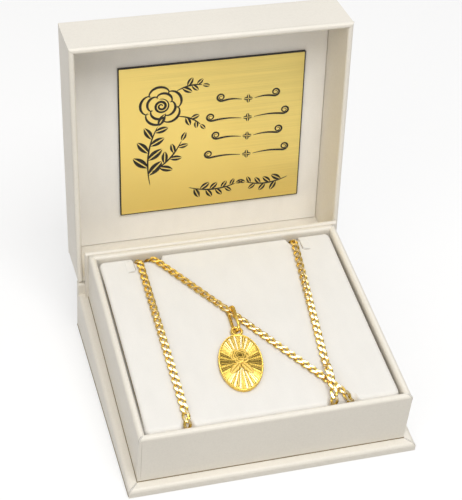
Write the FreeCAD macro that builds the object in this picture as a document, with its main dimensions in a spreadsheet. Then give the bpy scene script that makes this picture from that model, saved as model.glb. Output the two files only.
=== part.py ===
"""Jewellery presentation box: wedge plinth, tray, soft pad with a curb necklace, and a hinged lid with a plaque.

The box stands on z = 0 with its front towards -Y. The tray leans forward on the wedge plinth, and the lid is drawn
open and upright. Three frames are used: the room, the tray (origin at the middle of the plinth's ledge, Z square to
it) and the lid (origin on the hinge axis, drawn as if shut).
"""

import FreeCAD
import Part
import Sketcher
import math
import os

Vector = FreeCAD.Vector

SIZES = {
    # Plinth
    "box_width": 92.0,
    "box_depth": 87.5,
    "plinth_front_height": 3.0,
    "plinth_back_height": 17.1,
    "plinth_wall": 1.8,
    "plinth_deck": 1.6,
    "plinth_edge_radius": 1.2,
    "bottom_board_thickness": 0.8,
    "bottom_felt_thickness": 0.3,
    "bottom_board_clearance": 0.35,
    "bottom_felt_inset": 1.5,
    # Tray
    "side_ledge": 3.15,
    "front_ledge": 3.2,
    "back_ledge": 4.4,
    "tray_wall_height": 19.9,
    "tray_wall_thickness": 2.2,
    "tray_rim_radius": 1.0,
    "tray_foot_radius": 0.45,
    "hinge_board_thickness": 1.8,
    "hinge_board_rim_radius": 0.8,
    "lid_side_clearance": 0.4,
    # Pad
    "pad_recess": 0.9,
    "pad_thickness": 6.6,
    "pad_side_gap": 0.4,
    "pad_front_gap": 0.6,
    "pad_back_gap": 0.4,
    "pad_corner_radius": 2.2,
    "pad_edge_roll": 1.7,
    "pad_crown_inset": 12.0,
    "pad_draw_in": 0.9,
    "slit_width": 0.5,
    "slit_length": 5.5,
    "slit_tab": 3.4,
    "slit_depth": 1.5,
    "riser_card": 1.0,
    "riser_inset": 0.9,
    "riser_end_inset": 2.4,
    # Hinge
    "pin_diameter": 1.0,
    "knuckle_diameter": 2.0,
    "knuckle_length": 9.0,
    "knuckle_spacing": 48.0,
    "knuckle_clearance": 0.3,
    "running_clearance": 0.05,
    "leaf_thickness": 0.6,
    "leaf_depth": 5.0,
    "leaf_clearance": 0.1,
    # Lid
    "lid_depth": 20.1,
    "lid_wall": 1.8,
    "lid_back_wall_thickness": 2.2,
    "lid_panel_thickness": 1.4,
    "lid_panel_edge_radius": 1.0,
    "lid_rim_radius": 0.8,
    "lid_rim_gap": 4.8,
    "hinge_lip_clearance": 0.3,
    "hinge_lip_radius": 0.6,
    "lid_lining_thickness": 0.4,
    "lid_lining_clearance": 0.3,
    # Plaque
    "plaque_width": 64.0,
    "plaque_height": 56.6,
    "plaque_offset": 4.4,
    "plaque_drop": 2.0,
    "plaque_corner_radius": 0.3,
    "plaque_core_thickness": 0.6,
    "plaque_face_thickness": 0.12,
    "plaque_border": 0.4,
    "tape_thickness": 0.15,
    "tape_width": 10.0,
    "tape_spacing": 36.0,
    "tape_inset": 5.0,
    # Necklace
    "wire_diameter": 0.66,
    "link_width": 2.6,
    "link_pitch": 2.85,
    "link_slack": 0.3,
    "chain_clearance": 0.08,
    "chain_wall_clearance": 0.2,
    "notch_side_clearance": 0.5,
    "edge_bend_radius": 4.6,
    "left_run_back_inset": 13.35,
    "left_run_front_inset": 13.2,
    "diagonal_run_back_inset": 16.55,
    "diagonal_run_front_inset": 15.65,
    "right_run_back_inset": 13.3,
    "right_run_front_inset": 21.5,
    "crossing_ramp": 5.0,
    "crossing_flat": 3.8,
    "hidden_turn_reach": 13.0,
    "medal_width": 14.0,
    "medal_length": 23.0,
    "medal_thickness": 1.0,
    "medal_rim_width": 0.5,
    "medal_rim_height": 0.15,
    "medal_relief_height": 0.45,
    "medal_relief_width": 6.4,
    "medal_relief_length": 9.6,
    "eyelet_radius": 1.6,
    "eyelet_wire": 0.9,
    "bail_wire": 0.84,
    "bail_length": 11.8,
    "bail_sink": 0.75,
    "bail_span": 2.7,
    "bail_rise": 2.6,
    "bail_groove_clearance": 0.3,
    "pendant_place": -2.9,
    "bail_over": 3.7,
    "eyelet_hook": 1.3,
    "clasp_radius": 2.3,
    "clasp_wire": 0.6,
    "clasp_hook": 0.35,
    # One overrun serves all cuts
    "overrun": 1.0,
}
PENDANT_TURN = 9.5
BAIL_TURN = 2.0
MEDAL_TILT = 0.6
LINK_TWIST = 55.0
LINK_SEGMENTS = 8
CLASP_ROLL = 30.0
ROLLED_LINKS = 3
LINK_SIDES = 4
RING_SEGMENTS = 14
RING_SIDES = 6
BEND_STEPS = 12
RUN_STEPS = 240

doc = FreeCAD.newDocument("PresentationBox")
sheet = doc.addObject("Spreadsheet::Sheet", "Sizes")
for row, (alias, number) in enumerate(SIZES.items(), start=1):
    sheet.set("A%d" % row, alias)
    sheet.set("B%d" % row, str(number))
    sheet.setAlias("B%d" % row, alias)
doc.recompute()


class Size:
    """A length that knows its number and the sheet expression that it comes from."""

    def __init__(self, value, text):
        self.value = value
        self.text = text

    def joined(self, other, sign, swap=False):
        if not isinstance(other, Size):
            other = Size(other, repr(other))
        first, second = (other, self) if swap else (self, other)
        number = {
            "+": lambda a, b: a + b,
            "-": lambda a, b: a - b,
            "*": lambda a, b: a * b,
            "/": lambda a, b: a / b,
        }[sign](first.value, second.value)
        return Size(number, "(%s %s %s)" % (first.text, sign, second.text))

    def __add__(self, other):
        return self.joined(other, "+")

    def __sub__(self, other):
        return self.joined(other, "-")

    def __rsub__(self, other):
        return self.joined(other, "-", swap=True)

    def __mul__(self, other):
        return self.joined(other, "*")

    def __rmul__(self, other):
        return self.joined(other, "*", swap=True)

    def __truediv__(self, other):
        return self.joined(other, "/")

    def __neg__(self):
        return Size(-self.value, "(-%s)" % self.text)


def size(alias):
    """The sheet's value of that name."""
    return Size(float(sheet.get(alias)), "Sizes." + alias)


ZERO = Size(0.0, "0")
width = size("box_width")
depth = size("box_depth")
overrun = size("overrun")

# Tray frame: how the plinth's ledge lies in the room
rise = size("plinth_back_height") - size("plinth_front_height")
TILT = math.degrees(math.atan2(rise.value, depth.value))
TILT_TEXT = "atan2(%s; %s)" % (rise.text, depth.text)
middle_height = (size("plinth_front_height") + size("plinth_back_height")) / 2
TRAY_Y_TEXT = "-%s * sin(%s)" % (middle_height.text, TILT_TEXT)
TRAY_Z_TEXT = "%s * cos(%s)" % (middle_height.text, TILT_TEXT)

# Hinge axis in the tray frame, in the middle of the lid's back wall and of its round rim
axis_back = depth / 2 - size("lid_back_wall_thickness") / 2
axis_up = size("lid_rim_gap") + size("lid_back_wall_thickness") / 2
AXIS_Y_TEXT = "%s * cos(%s) - %s * sin(%s) + %s" % (
    axis_back.text, TILT_TEXT, axis_up.text, TILT_TEXT, TRAY_Y_TEXT)
AXIS_Z_TEXT = "%s * sin(%s) + %s * cos(%s) + %s" % (
    axis_back.text, TILT_TEXT, axis_up.text, TILT_TEXT, TRAY_Z_TEXT)

# Tray inside, in the tray frame
tray_wall = size("tray_wall_thickness")
tray_outer_width = width - 2 * size("side_ledge")
tray_front = -depth / 2 + size("front_ledge")
tray_back = depth / 2 - size("back_ledge")
tray_outer_depth = tray_back - tray_front
tray_middle = (tray_back + tray_front) / 2
inside_front = tray_front + tray_wall
inside_back = tray_back - tray_wall

# Lid frame, as if shut: the rim plane and the inner faces
lid_rim = -size("lid_back_wall_thickness") / 2
lid_top = lid_rim + size("lid_depth")
lid_back = size("lid_back_wall_thickness") / 2
lid_front = lid_back - depth
panel_under = lid_top - size("lid_panel_thickness")
lining_face = panel_under - size("lid_lining_thickness")


def in_tray(thing):
    """Places an object drawn in the tray frame."""
    thing.Placement = FreeCAD.Placement(Vector(), FreeCAD.Rotation(Vector(1, 0, 0), TILT))
    thing.setExpression("Placement.Rotation.Angle", TILT_TEXT)
    thing.setExpression("Placement.Base.y", TRAY_Y_TEXT)
    thing.setExpression("Placement.Base.z", TRAY_Z_TEXT)


def in_lid(thing):
    """Places an object drawn in the shut lid's frame, with the lid swung open until it is upright."""
    thing.Placement = FreeCAD.Placement(Vector(), FreeCAD.Rotation(Vector(1, 0, 0), -90))
    thing.setExpression("Placement.Base.y", AXIS_Y_TEXT)
    thing.setExpression("Placement.Base.z", AXIS_Z_TEXT)


def new_body(label):
    body = doc.addObject("PartDesign::Body", label)
    body.Label = label
    return body


def new_sketch(body, role, offset=None):
    """A sketch on one of the body's own planes, lifted by an offset along the plane's normal."""
    sketch = body.newObject("Sketcher::SketchObject", body.Label + "_sketch")
    plane = [feature for feature in body.Origin.OriginFeatures if feature.Role == role][0]
    sketch.AttachmentSupport = (plane, "")
    sketch.MapMode = "FlatFace"
    if offset is not None:
        sketch.setExpression("AttachmentOffset.Base.z", offset.text)
    return sketch


def pin_point(sketch, geometry, position, x, y):
    """Ties a point of a sketch to sheet expressions."""
    for kind, axis, length in (("DistanceX", -2, x), ("DistanceY", -1, y)):
        if length.text == "0":
            sketch.addConstraint(Sketcher.Constraint("PointOnObject", geometry, position, axis))
            continue
        index = sketch.addConstraint(Sketcher.Constraint(kind, -1, 1, geometry, position, length.value))
        sketch.setExpression("Constraints[%d]" % index, length.text)


def draw_polygon(sketch, corners):
    """A closed outline of straight lines through corners given as pairs of sizes."""
    first = sketch.GeometryCount
    count = len(corners)
    for index, (x, y) in enumerate(corners):
        end_x, end_y = corners[(index + 1) % count]
        start = Vector(x.value, y.value, 0)
        end = Vector(end_x.value, end_y.value, 0)
        sketch.addGeometry(Part.LineSegment(start, end), False)
    for index, (x, y) in enumerate(corners):
        after = first + (index + 1) % count
        sketch.addConstraint(Sketcher.Constraint("Coincident", first + index, 2, after, 1))
        pin_point(sketch, first + index, 1, x, y)


def rectangle(left, right, front, back):
    return [(left, front), (right, front), (right, back), (left, back)]


def draw_rounded_rectangle(sketch, half_x, half_y, radius):
    """A rectangle about the sketch's origin with round corners: four lines and four quarter arcs."""
    signs = ((1, 1), (-1, 1), (-1, -1), (1, -1))
    flat_x = half_x - radius
    flat_y = half_y - radius
    first = sketch.GeometryCount
    for quarter, (sx, sy) in enumerate(signs):
        middle = Vector(sx * flat_x.value, sy * flat_y.value, 0)
        circle = Part.Circle(middle, Vector(0, 0, 1), radius.value)
        begin = quarter * math.pi / 2
        sketch.addGeometry(Part.ArcOfCircle(circle, begin, begin + math.pi / 2), False)
    for quarter in range(4):
        here = sketch.Geometry[first + quarter]
        after = sketch.Geometry[first + (quarter + 1) % 4]
        sketch.addGeometry(Part.LineSegment(here.EndPoint, after.StartPoint), False)
    for quarter, (sx, sy) in enumerate(signs):
        line = first + 4 + quarter
        sketch.addConstraint(Sketcher.Constraint("Tangent", first + quarter, 2, line, 1))
        sketch.addConstraint(Sketcher.Constraint("Tangent", line, 2, first + (quarter + 1) % 4, 1))
        pin_point(sketch, first + quarter, 3, flat_x * sx, flat_y * sy)
    index = sketch.addConstraint(Sketcher.Constraint("Radius", first, radius.value))
    sketch.setExpression("Constraints[%d]" % index, radius.text)


def pad_up(body, sketch, length, middle=False):
    feature = body.newObject("PartDesign::Pad", body.Label + "_pad")
    feature.Profile = sketch
    feature.setExpression("Length", length.text)
    feature.Midplane = middle
    doc.recompute()
    return feature


def cut(body, sketch, length, middle=False, reverse=False):
    """A pocket that has to take material away."""
    before = body.Shape.Volume
    feature = body.newObject("PartDesign::Pocket", body.Label + "_pocket")
    feature.Profile = sketch
    feature.setExpression("Length", length.text)
    feature.Midplane = middle
    feature.Reversed = reverse
    doc.recompute()
    if not body.Shape.Volume < before:
        raise ValueError("a pocket in %s cut nothing" % body.Label)
    return feature


def round_edges(body, base, radius, wanted):
    """Fillets the edges of a feature that the wanted test picks by their middle point and direction."""
    names = []
    for index, edge in enumerate(base.Shape.Edges, start=1):
        ends = edge.Vertexes
        if len(ends) < 2:
            continue
        along = (ends[1].Point - ends[0].Point).normalize()
        middle = edge.valueAt((edge.FirstParameter + edge.LastParameter) / 2)
        if wanted(middle, along):
            names.append("Edge%d" % index)
    if not names:
        raise ValueError("no edge to round in %s" % body.Label)
    fillet = body.newObject("PartDesign::Fillet", body.Label + "_fillet")
    fillet.Base = (base, names)
    fillet.setExpression("Radius", radius.text)
    doc.recompute()
    return fillet


def near(one, other):
    return abs(one - other) < 1e-4


def mitred_wall(
    label, length, thickness, bottom, top, rim_radius, rim_at_top,
    square_end=0, end_radius=None, foot_radius=None,
):
    """A wrapped board drawn along X with its outer face at y = 0 and its inside towards +Y.

    Its ends are cut at 45 degrees, but the end on the square side (-1 or 1) is left square with its rim
    corner rounded. The rim has both long edges rounded, and the foot its outer one if a foot radius is given.
    """
    body = new_body(label)
    profile = new_sketch(body, "XY_Plane", bottom)
    half = length / 2
    left = -half if square_end < 0 else thickness - half
    right = half if square_end > 0 else half - thickness
    draw_polygon(profile, [(-half, ZERO), (half, ZERO), (right, thickness), (left, thickness)])
    block = pad_up(body, profile, top - bottom)
    rim = (top if rim_at_top else bottom).value
    if square_end:
        block = round_edges(
            body, block, end_radius,
            lambda middle, along: near(abs(along.y), 1) and near(middle.z, rim) and middle.x * square_end > 0)
    if foot_radius:
        foot = bottom.value
        block = round_edges(
            body, block, foot_radius,
            lambda middle, along: near(abs(along.x), 1) and near(middle.z, foot) and near(middle.y, 0))
    round_edges(body, block, rim_radius, lambda middle, along: near(abs(along.x), 1) and near(middle.z, rim))
    return body


def turned(thing, angle, x, y):
    """Turns an object about Z in its own frame, moves it there and leaves its frame's place as it is."""
    local = FreeCAD.Placement(Vector(x, y, 0), FreeCAD.Rotation(Vector(0, 0, 1), angle))
    thing.Placement = thing.Placement.multiply(local)


PIECES = []


def keep(thing):
    PIECES.append(thing)
    return thing


# Plinth
base_shell = keep(new_body("base_shell"))
wedge = new_sketch(base_shell, "YZ_Plane")
draw_polygon(wedge, [
    (-depth / 2, ZERO),
    (-depth / 2, -size("plinth_front_height")),
    (depth / 2, -size("plinth_back_height")),
    (depth / 2, ZERO),
])
wedge_block = pad_up(base_shell, wedge, width, middle=True)
rounded_wedge = round_edges(
    base_shell, wedge_block, size("plinth_edge_radius"), lambda middle, along: near(middle.z, 0))
lip = new_sketch(base_shell, "YZ_Plane")
lip_top = size("lid_rim_gap") - size("hinge_lip_clearance")
draw_polygon(lip, rectangle(
    tray_back + size("hinge_board_thickness"), depth / 2, -2 * size("plinth_edge_radius"), lip_top))
lip_block = pad_up(base_shell, lip, width, middle=True)
round_edges(
    base_shell, lip_block, size("hinge_lip_radius"), lambda middle, along: near(middle.z, lip_top.value))
hollow = new_sketch(base_shell, "YZ_Plane")
hollow_half = depth / 2 - size("plinth_wall")
draw_polygon(hollow, [
    (-hollow_half, -size("plinth_deck")),
    (-hollow_half, -size("plinth_back_height") - overrun),
    (hollow_half, -size("plinth_back_height") - overrun),
    (hollow_half, -size("plinth_deck")),
])
cut(base_shell, hollow, width - 2 * size("plinth_wall"), middle=True)
leaf_slots = new_sketch(base_shell, "XY_Plane", lip_top)
slot_half = size("leaf_thickness") / 2 + size("leaf_clearance")
slot_reach = size("knuckle_length") / 2 + size("leaf_clearance")
for side in (-1, 1):
    knuckle_middle = size("knuckle_spacing") * (side / 2)
    draw_polygon(leaf_slots, rectangle(
        knuckle_middle - slot_reach, knuckle_middle + slot_reach, axis_back - slot_half, axis_back + slot_half))
cut(base_shell, leaf_slots, lip_top + size("leaf_depth") + size("leaf_clearance"))
in_tray(base_shell)

# Underside, level in the room
board_width = width - 2 * size("plinth_wall") - 2 * size("bottom_board_clearance")
TILT_SHARE = math.cos(math.radians(TILT))
LEVEL_TEXT = "cos(%s)" % TILT_TEXT
hollow_depth = Size(2 * hollow_half.value / TILT_SHARE, "(2 * %s / %s)" % (hollow_half.text, LEVEL_TEXT))
board_depth = hollow_depth - 2 * size("bottom_board_clearance")
for label, inset, low, thick in (
    ("bottom_board", ZERO, size("bottom_felt_thickness"), size("bottom_board_thickness")),
    ("bottom_felt", size("bottom_felt_inset"), ZERO, size("bottom_felt_thickness")),
):
    sheet_body = keep(new_body(label))
    outline = new_sketch(sheet_body, "XY_Plane", low)
    draw_polygon(outline, rectangle(
        inset - board_width / 2, board_width / 2 - inset, inset - board_depth / 2, board_depth / 2 - inset))
    pad_up(sheet_body, outline, thick)

# Tray walls and the strip behind them
for label, length, angle, x, y in (
    ("tray_front_wall", tray_outer_width, 0, ZERO, tray_front),
    ("tray_back_wall", tray_outer_width, 180, ZERO, tray_back),
    ("tray_left_wall", tray_outer_depth, -90, -tray_outer_width / 2, tray_middle),
    ("tray_right_wall", tray_outer_depth, 90, tray_outer_width / 2, tray_middle),
):
    wall = keep(mitred_wall(
        label, length, tray_wall, ZERO, size("tray_wall_height"), size("tray_rim_radius"), True,
        foot_radius=size("tray_foot_radius")))
    wall.Placement = FreeCAD.Placement(
        Vector(0, -middle_height.value * math.sin(math.radians(TILT)), middle_height.value * TILT_SHARE),
        FreeCAD.Rotation(Vector(1, 0, 0), TILT))
    turned(wall, angle, x.value, y.value)

hinge_board = keep(new_body("hinge_board"))
strip = new_sketch(hinge_board, "XY_Plane")
strip_half = width / 2 - size("lid_wall") - size("lid_side_clearance")
draw_polygon(strip, rectangle(-strip_half, strip_half, tray_back, tray_back + size("hinge_board_thickness")))
strip_block = pad_up(hinge_board, strip, size("tray_wall_height"))
round_edges(
    hinge_board, strip_block, size("hinge_board_rim_radius"),
    lambda middle, along: near(abs(along.x), 1) and near(middle.z, size("tray_wall_height").value))
in_tray(hinge_board)

# Pad: a soft loft with a crown, rolled edges and sides drawn in at the foot
pad_top = size("tray_wall_height") - size("pad_recess")
pad_foot = pad_top - size("pad_thickness")
pad_half_x = tray_outer_width / 2 - tray_wall - size("pad_side_gap")
pad_front = inside_front + size("pad_front_gap")
pad_back = inside_back - size("pad_back_gap")
pad_half_y = (pad_back - pad_front) / 2
pad_middle = (pad_back + pad_front) / 2
ROLL_SHARES = (1.0, 0.36, 0.0)
DROP_SHARES = (0.03, 0.11, 0.3)
pad_levels = [
    (size("pad_draw_in"), pad_foot),
]
for roll_share, drop_share in zip(reversed(ROLL_SHARES), reversed(DROP_SHARES)):
    pad_levels.append((size("pad_edge_roll") * roll_share, pad_top - size("pad_thickness") * drop_share))
pad_levels.append((size("pad_crown_inset"), pad_top))
pad_cushion = keep(new_body("pad_cushion"))
outlines = []
for inset, level in pad_levels:
    outline = new_sketch(pad_cushion, "XY_Plane", level)
    draw_rounded_rectangle(outline, pad_half_x - inset, pad_half_y - inset, size("pad_corner_radius"))
    outlines.append(outline)
doc.recompute()
soft_loft = pad_cushion.newObject("PartDesign::AdditiveLoft", "pad_cushion_loft")
soft_loft.Profile = outlines[0]
soft_loft.Sections = outlines[1:]
soft_loft.Ruled = True
doc.recompute()
slits = new_sketch(pad_cushion, "XY_Plane", pad_top)
slit_back = pad_half_y - size("pad_edge_roll")
for run_inset, side in (("left_run_back_inset", -1), ("right_run_back_inset", 1)):
    beside_run = size("link_width") / 2 + size("chain_clearance") + size("slit_width")
    edge = (pad_half_x - size(run_inset) + beside_run) * side
    far_side = edge + size("slit_width") * side
    tab_end = edge + size("slit_tab") * side
    tab_front = slit_back - size("slit_length")
    draw_polygon(slits, [
        (edge, slit_back),
        (edge, tab_front),
        (tab_end, tab_front),
        (tab_end, tab_front + size("slit_width")),
        (far_side, tab_front + size("slit_width")),
        (far_side, slit_back),
    ])
cut(pad_cushion, slits, size("slit_depth"))
in_tray(pad_cushion)
pad_cushion.setExpression(
    "Placement.Base.y", "%s + %s * cos(%s)" % (TRAY_Y_TEXT, pad_middle.text, TILT_TEXT))
pad_cushion.setExpression(
    "Placement.Base.z", "%s + %s * sin(%s)" % (TRAY_Z_TEXT, pad_middle.text, TILT_TEXT))

pad_riser = keep(new_body("pad_riser"))
fold = new_sketch(pad_riser, "XZ_Plane")
riser_half = pad_half_x - size("riser_inset")
card = size("riser_card")
draw_polygon(fold, [
    (-riser_half, ZERO),
    (-riser_half, pad_foot),
    (riser_half, pad_foot),
    (riser_half, ZERO),
    (riser_half - card, ZERO),
    (riser_half - card, pad_foot - card),
    (card - riser_half, pad_foot - card),
    (card - riser_half, ZERO),
])
pad_up(pad_riser, fold, 2 * (pad_half_y - size("riser_end_inset")), middle=True)
in_tray(pad_riser)
pad_riser.setExpression(
    "Placement.Base.y", "%s + %s * cos(%s)" % (TRAY_Y_TEXT, pad_middle.text, TILT_TEXT))
pad_riser.setExpression(
    "Placement.Base.z", "%s + %s * sin(%s)" % (TRAY_Z_TEXT, pad_middle.text, TILT_TEXT))

# Hinge leaves and pin, drawn with the hinge axis as X
hinge_leaves = keep(new_body("hinge_leaves"))
leaf_profile = new_sketch(hinge_leaves, "YZ_Plane")
leaf_half = size("leaf_thickness") / 2
leaf_foot = -axis_up - size("leaf_depth")
draw_polygon(leaf_profile, rectangle(-leaf_half, leaf_half, leaf_foot, ZERO))
pad_up(hinge_leaves, leaf_profile, size("knuckle_spacing") + size("knuckle_length"), middle=True)
eye = new_sketch(hinge_leaves, "YZ_Plane")
eye.addGeometry(Part.Circle(Vector(), Vector(0, 0, 1), size("knuckle_diameter").value / 2), False)
eye.addConstraint(Sketcher.Constraint("Coincident", 0, 3, -1, 1))
eye_radius = eye.addConstraint(Sketcher.Constraint("Radius", 0, size("knuckle_diameter").value / 2))
eye.setExpression("Constraints[%d]" % eye_radius, (size("knuckle_diameter") / 2).text)
pad_up(hinge_leaves, eye, size("knuckle_spacing") + size("knuckle_length"), middle=True)
bore = new_sketch(hinge_leaves, "YZ_Plane")
bore_size = size("pin_diameter") / 2 + size("running_clearance")
bore.addGeometry(Part.Circle(Vector(), Vector(0, 0, 1), bore_size.value), False)
bore.addConstraint(Sketcher.Constraint("Coincident", 0, 3, -1, 1))
bore_radius = bore.addConstraint(Sketcher.Constraint("Radius", 0, bore_size.value))
bore.setExpression("Constraints[%d]" % bore_radius, bore_size.text)
cut(hinge_leaves, bore, size("knuckle_spacing") * 2, middle=True)
gap = new_sketch(hinge_leaves, "XZ_Plane")
gap_half = size("knuckle_spacing") / 2 - size("knuckle_length") / 2
draw_polygon(gap, rectangle(-gap_half, gap_half, leaf_foot - overrun, size("knuckle_diameter")))
hinge_leaves.AllowCompound = True
cut(hinge_leaves, gap, size("knuckle_diameter") * 2, middle=True)

hinge_pin = keep(doc.addObject("Part::Cylinder", "hinge_pin"))
hinge_pin.Label = "hinge_pin"
pin_length = width - 2 * size("lid_wall") - 2 * size("running_clearance")
hinge_pin.setExpression("Radius", (size("pin_diameter") / 2).text)
hinge_pin.setExpression("Height", pin_length.text)
hinge_pin.Placement = FreeCAD.Placement(Vector(), FreeCAD.Rotation(Vector(0, 1, 0), 90))
hinge_pin.setExpression("Placement.Base.x", (-pin_length / 2).text)
hinge_leaves.Placement = FreeCAD.Placement(Vector(), FreeCAD.Rotation(Vector(1, 0, 0), TILT))
hinge_leaves.setExpression("Placement.Rotation.Angle", TILT_TEXT)
for thing in (hinge_leaves, hinge_pin):
    thing.setExpression("Placement.Base.y", AXIS_Y_TEXT)
    thing.setExpression("Placement.Base.z", AXIS_Z_TEXT)

# Lid boards
lid_panel = keep(new_body("lid_panel"))
panel_outline = new_sketch(lid_panel, "XY_Plane", panel_under)
draw_polygon(panel_outline, rectangle(-width / 2, width / 2, lid_front, lid_back))
panel_block = pad_up(lid_panel, panel_outline, size("lid_panel_thickness"))
round_edges(
    lid_panel, panel_block, size("lid_panel_edge_radius"),
    lambda middle, along: near(middle.z, lid_top.value))
in_lid(lid_panel)

lid_wall = size("lid_wall")
lid_middle = (lid_front + lid_back) / 2
open_up = FreeCAD.Rotation(Vector(1, 0, 0), -90)
tilt_angle = math.radians(TILT)
axis_y = (axis_back.value * math.cos(tilt_angle) - axis_up.value * math.sin(tilt_angle)
          - middle_height.value * math.sin(tilt_angle))
axis_z = (axis_back.value * math.sin(tilt_angle) + axis_up.value * math.cos(tilt_angle)
          + middle_height.value * math.cos(tilt_angle))
for label, length, angle, x, y, square_end in (
    ("lid_front_wall", width, 0, ZERO, lid_front, 0),
    ("lid_left_wall", depth, -90, -width / 2, lid_middle, -1),
    ("lid_right_wall", depth, 90, width / 2, lid_middle, 1),
):
    wall = keep(mitred_wall(
        label, length, lid_wall, lid_rim, panel_under, size("lid_rim_radius"), False, square_end,
        size("lid_back_wall_thickness") / 2))
    wall.Placement = FreeCAD.Placement(Vector(0, axis_y, axis_z), open_up)
    turned(wall, angle, x.value, y.value)

lid_back_wall = keep(new_body("lid_back_wall"))
back_profile = new_sketch(lid_back_wall, "XY_Plane", lid_rim)
back_half = width / 2 - lid_wall
draw_polygon(back_profile, rectangle(-back_half, back_half, -lid_back, lid_back))
back_block = pad_up(lid_back_wall, back_profile, panel_under - lid_rim)
ROUND_RIM_SHARE = 0.98
round_edges(
    lid_back_wall, back_block, lid_back * ROUND_RIM_SHARE,
    lambda middle, along: near(abs(along.x), 1) and near(middle.z, lid_rim.value))
notches = new_sketch(lid_back_wall, "XZ_Plane")
notch_half = size("knuckle_length") / 2 + size("knuckle_clearance")
notch_top = size("knuckle_diameter") / 2 + size("knuckle_clearance")
for side in (-1, 1):
    knuckle_middle = size("knuckle_spacing") * (side / 2)
    draw_polygon(notches, rectangle(
        knuckle_middle - notch_half, knuckle_middle + notch_half, lid_rim - overrun, notch_top))
cut(lid_back_wall, notches, 2 * size("lid_back_wall_thickness"), middle=True)
pin_bore = new_sketch(lid_back_wall, "YZ_Plane")
pin_bore.addGeometry(Part.Circle(Vector(), Vector(0, 0, 1), bore_size.value), False)
pin_bore.addConstraint(Sketcher.Constraint("Coincident", 0, 3, -1, 1))
pin_bore_radius = pin_bore.addConstraint(Sketcher.Constraint("Radius", 0, bore_size.value))
pin_bore.setExpression("Constraints[%d]" % pin_bore_radius, bore_size.text)
cut(lid_back_wall, pin_bore, width, middle=True)
in_lid(lid_back_wall)

# Lining and plaque, layer by layer from the lid panel inwards
lining = keep(new_body("lid_lining"))
lining_outline = new_sketch(lining, "XY_Plane", lining_face)
edge_gap = size("lid_lining_clearance")
draw_polygon(lining_outline, rectangle(
    edge_gap - back_half, back_half - edge_gap, lid_front + lid_wall + edge_gap, -lid_back - edge_gap))
pad_up(lining, lining_outline, size("lid_lining_thickness"))
in_lid(lining)

plaque_middle = (lid_front + lid_wall - lid_back) / 2 + size("plaque_drop")
tape_face = lining_face - size("tape_thickness")
core_face = tape_face - size("plaque_core_thickness")
plaque_face_level = core_face - size("plaque_face_thickness")

plaque_tape = keep(new_body("plaque_tape"))
tape_outline = new_sketch(plaque_tape, "XY_Plane", tape_face)
tape_half = size("plaque_height") / 2 - size("tape_inset")
for side in (-1, 1):
    strip_middle = size("plaque_offset") + size("tape_spacing") * (side / 2)
    draw_polygon(tape_outline, rectangle(
        strip_middle - size("tape_width") / 2, strip_middle + size("tape_width") / 2,
        plaque_middle - tape_half, plaque_middle + tape_half))
plaque_tape.AllowCompound = True
pad_up(plaque_tape, tape_outline, size("tape_thickness"))
in_lid(plaque_tape)

for label, inset, low, thick in (
    ("plaque_core", ZERO, core_face, size("plaque_core_thickness")),
    ("plaque_face", size("plaque_border"), plaque_face_level, size("plaque_face_thickness")),
):
    plate = keep(new_body(label))
    plate_outline = new_sketch(plate, "XY_Plane", low)
    draw_rounded_rectangle(
        plate_outline, size("plaque_width") / 2 - inset, size("plaque_height") / 2 - inset,
        size("plaque_corner_radius"))
    pad_up(plate, plate_outline, thick)
    in_lid(plate)
    plate.setExpression("Placement.Base.x", size("plaque_offset").text)
    plate.setExpression("Placement.Base.z", "%s - %s" % (AXIS_Z_TEXT, plaque_middle.text))
doc.recompute()


# Necklace: swept wire, closed rings and runs of curb links
def unit(vector):
    return Vector(vector).normalize()


def closed_ring(centres, ups, radius, sides):
    """A flat-faced solid swept round a closed centreline, with the section's up direction given at each point."""
    count = len(centres)
    rings = []
    for index in range(count):
        along = unit(centres[(index + 1) % count] - centres[index - 1])
        up = unit(ups[index] - along * along.dot(ups[index]))
        out = along.cross(up)
        ring = []
        for side in range(sides):
            turn = 2 * math.pi * (side + 0.5) / sides
            ring.append(centres[index] + (out * math.cos(turn) + up * math.sin(turn)) * radius)
        rings.append(ring)
    faces = []
    for index in range(count):
        here, after = rings[index], rings[(index + 1) % count]
        for side in range(sides):
            beside = (side + 1) % sides
            for corners in ((here[side], after[side], after[beside]), (here[side], after[beside], here[beside])):
                faces.append(Part.Face(Part.makePolygon([*corners, corners[0]])))
    solid = Part.Solid(Part.Shell(faces))
    if solid.Volume < 0:
        solid.reverse()
    return solid


def curb_link(long_half, wide_half, radius):
    """One curb link along X: an oval twisted so that its two ends stand a quarter turn apart."""
    centres = []
    ups = []
    for step in range(LINK_SEGMENTS):
        turn = 2 * math.pi * step / LINK_SEGMENTS
        twist = math.radians(LINK_TWIST) * math.cos(turn)
        reach = wide_half * math.sin(turn)
        centres.append(Vector(
            long_half * math.cos(turn), reach * math.cos(twist), reach * math.sin(twist)))
        ups.append(Vector(0, -math.sin(twist), math.cos(twist)))
    return closed_ring(centres, ups, radius, LINK_SIDES)


wire = size("wire_diameter").value
pitch = size("link_pitch").value
link_long_half = (pitch + size("link_slack").value + wire) / 2
link_wide_half = (size("link_width").value - wire) / 2
WIRE_CORNER_SHARE = 1.0
LINK = curb_link(link_long_half, link_wide_half, wire / 2 * WIRE_CORNER_SHARE)
link_height = LINK.BoundBox.ZMax
clearance = size("chain_clearance").value

# Levels in the tray frame: the shown runs lie on the pad, the rest in two layers on the plinth's deck
shown_level = pad_top.value + clearance + link_height
low_level = clearance + link_height
high_level = low_level + 2 * link_height + clearance
bend = size("edge_bend_radius").value
wall_gap = link_height + size("chain_wall_clearance").value
front_drop = inside_front.value + wall_gap
back_drop = inside_back.value - wall_gap
UP = Vector(0, 0, 1)


def ease(share):
    """A smooth step from 0 to 1."""
    share = min(max(share, 0.0), 1.0)
    return share * share * (3 - 2 * share)


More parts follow.
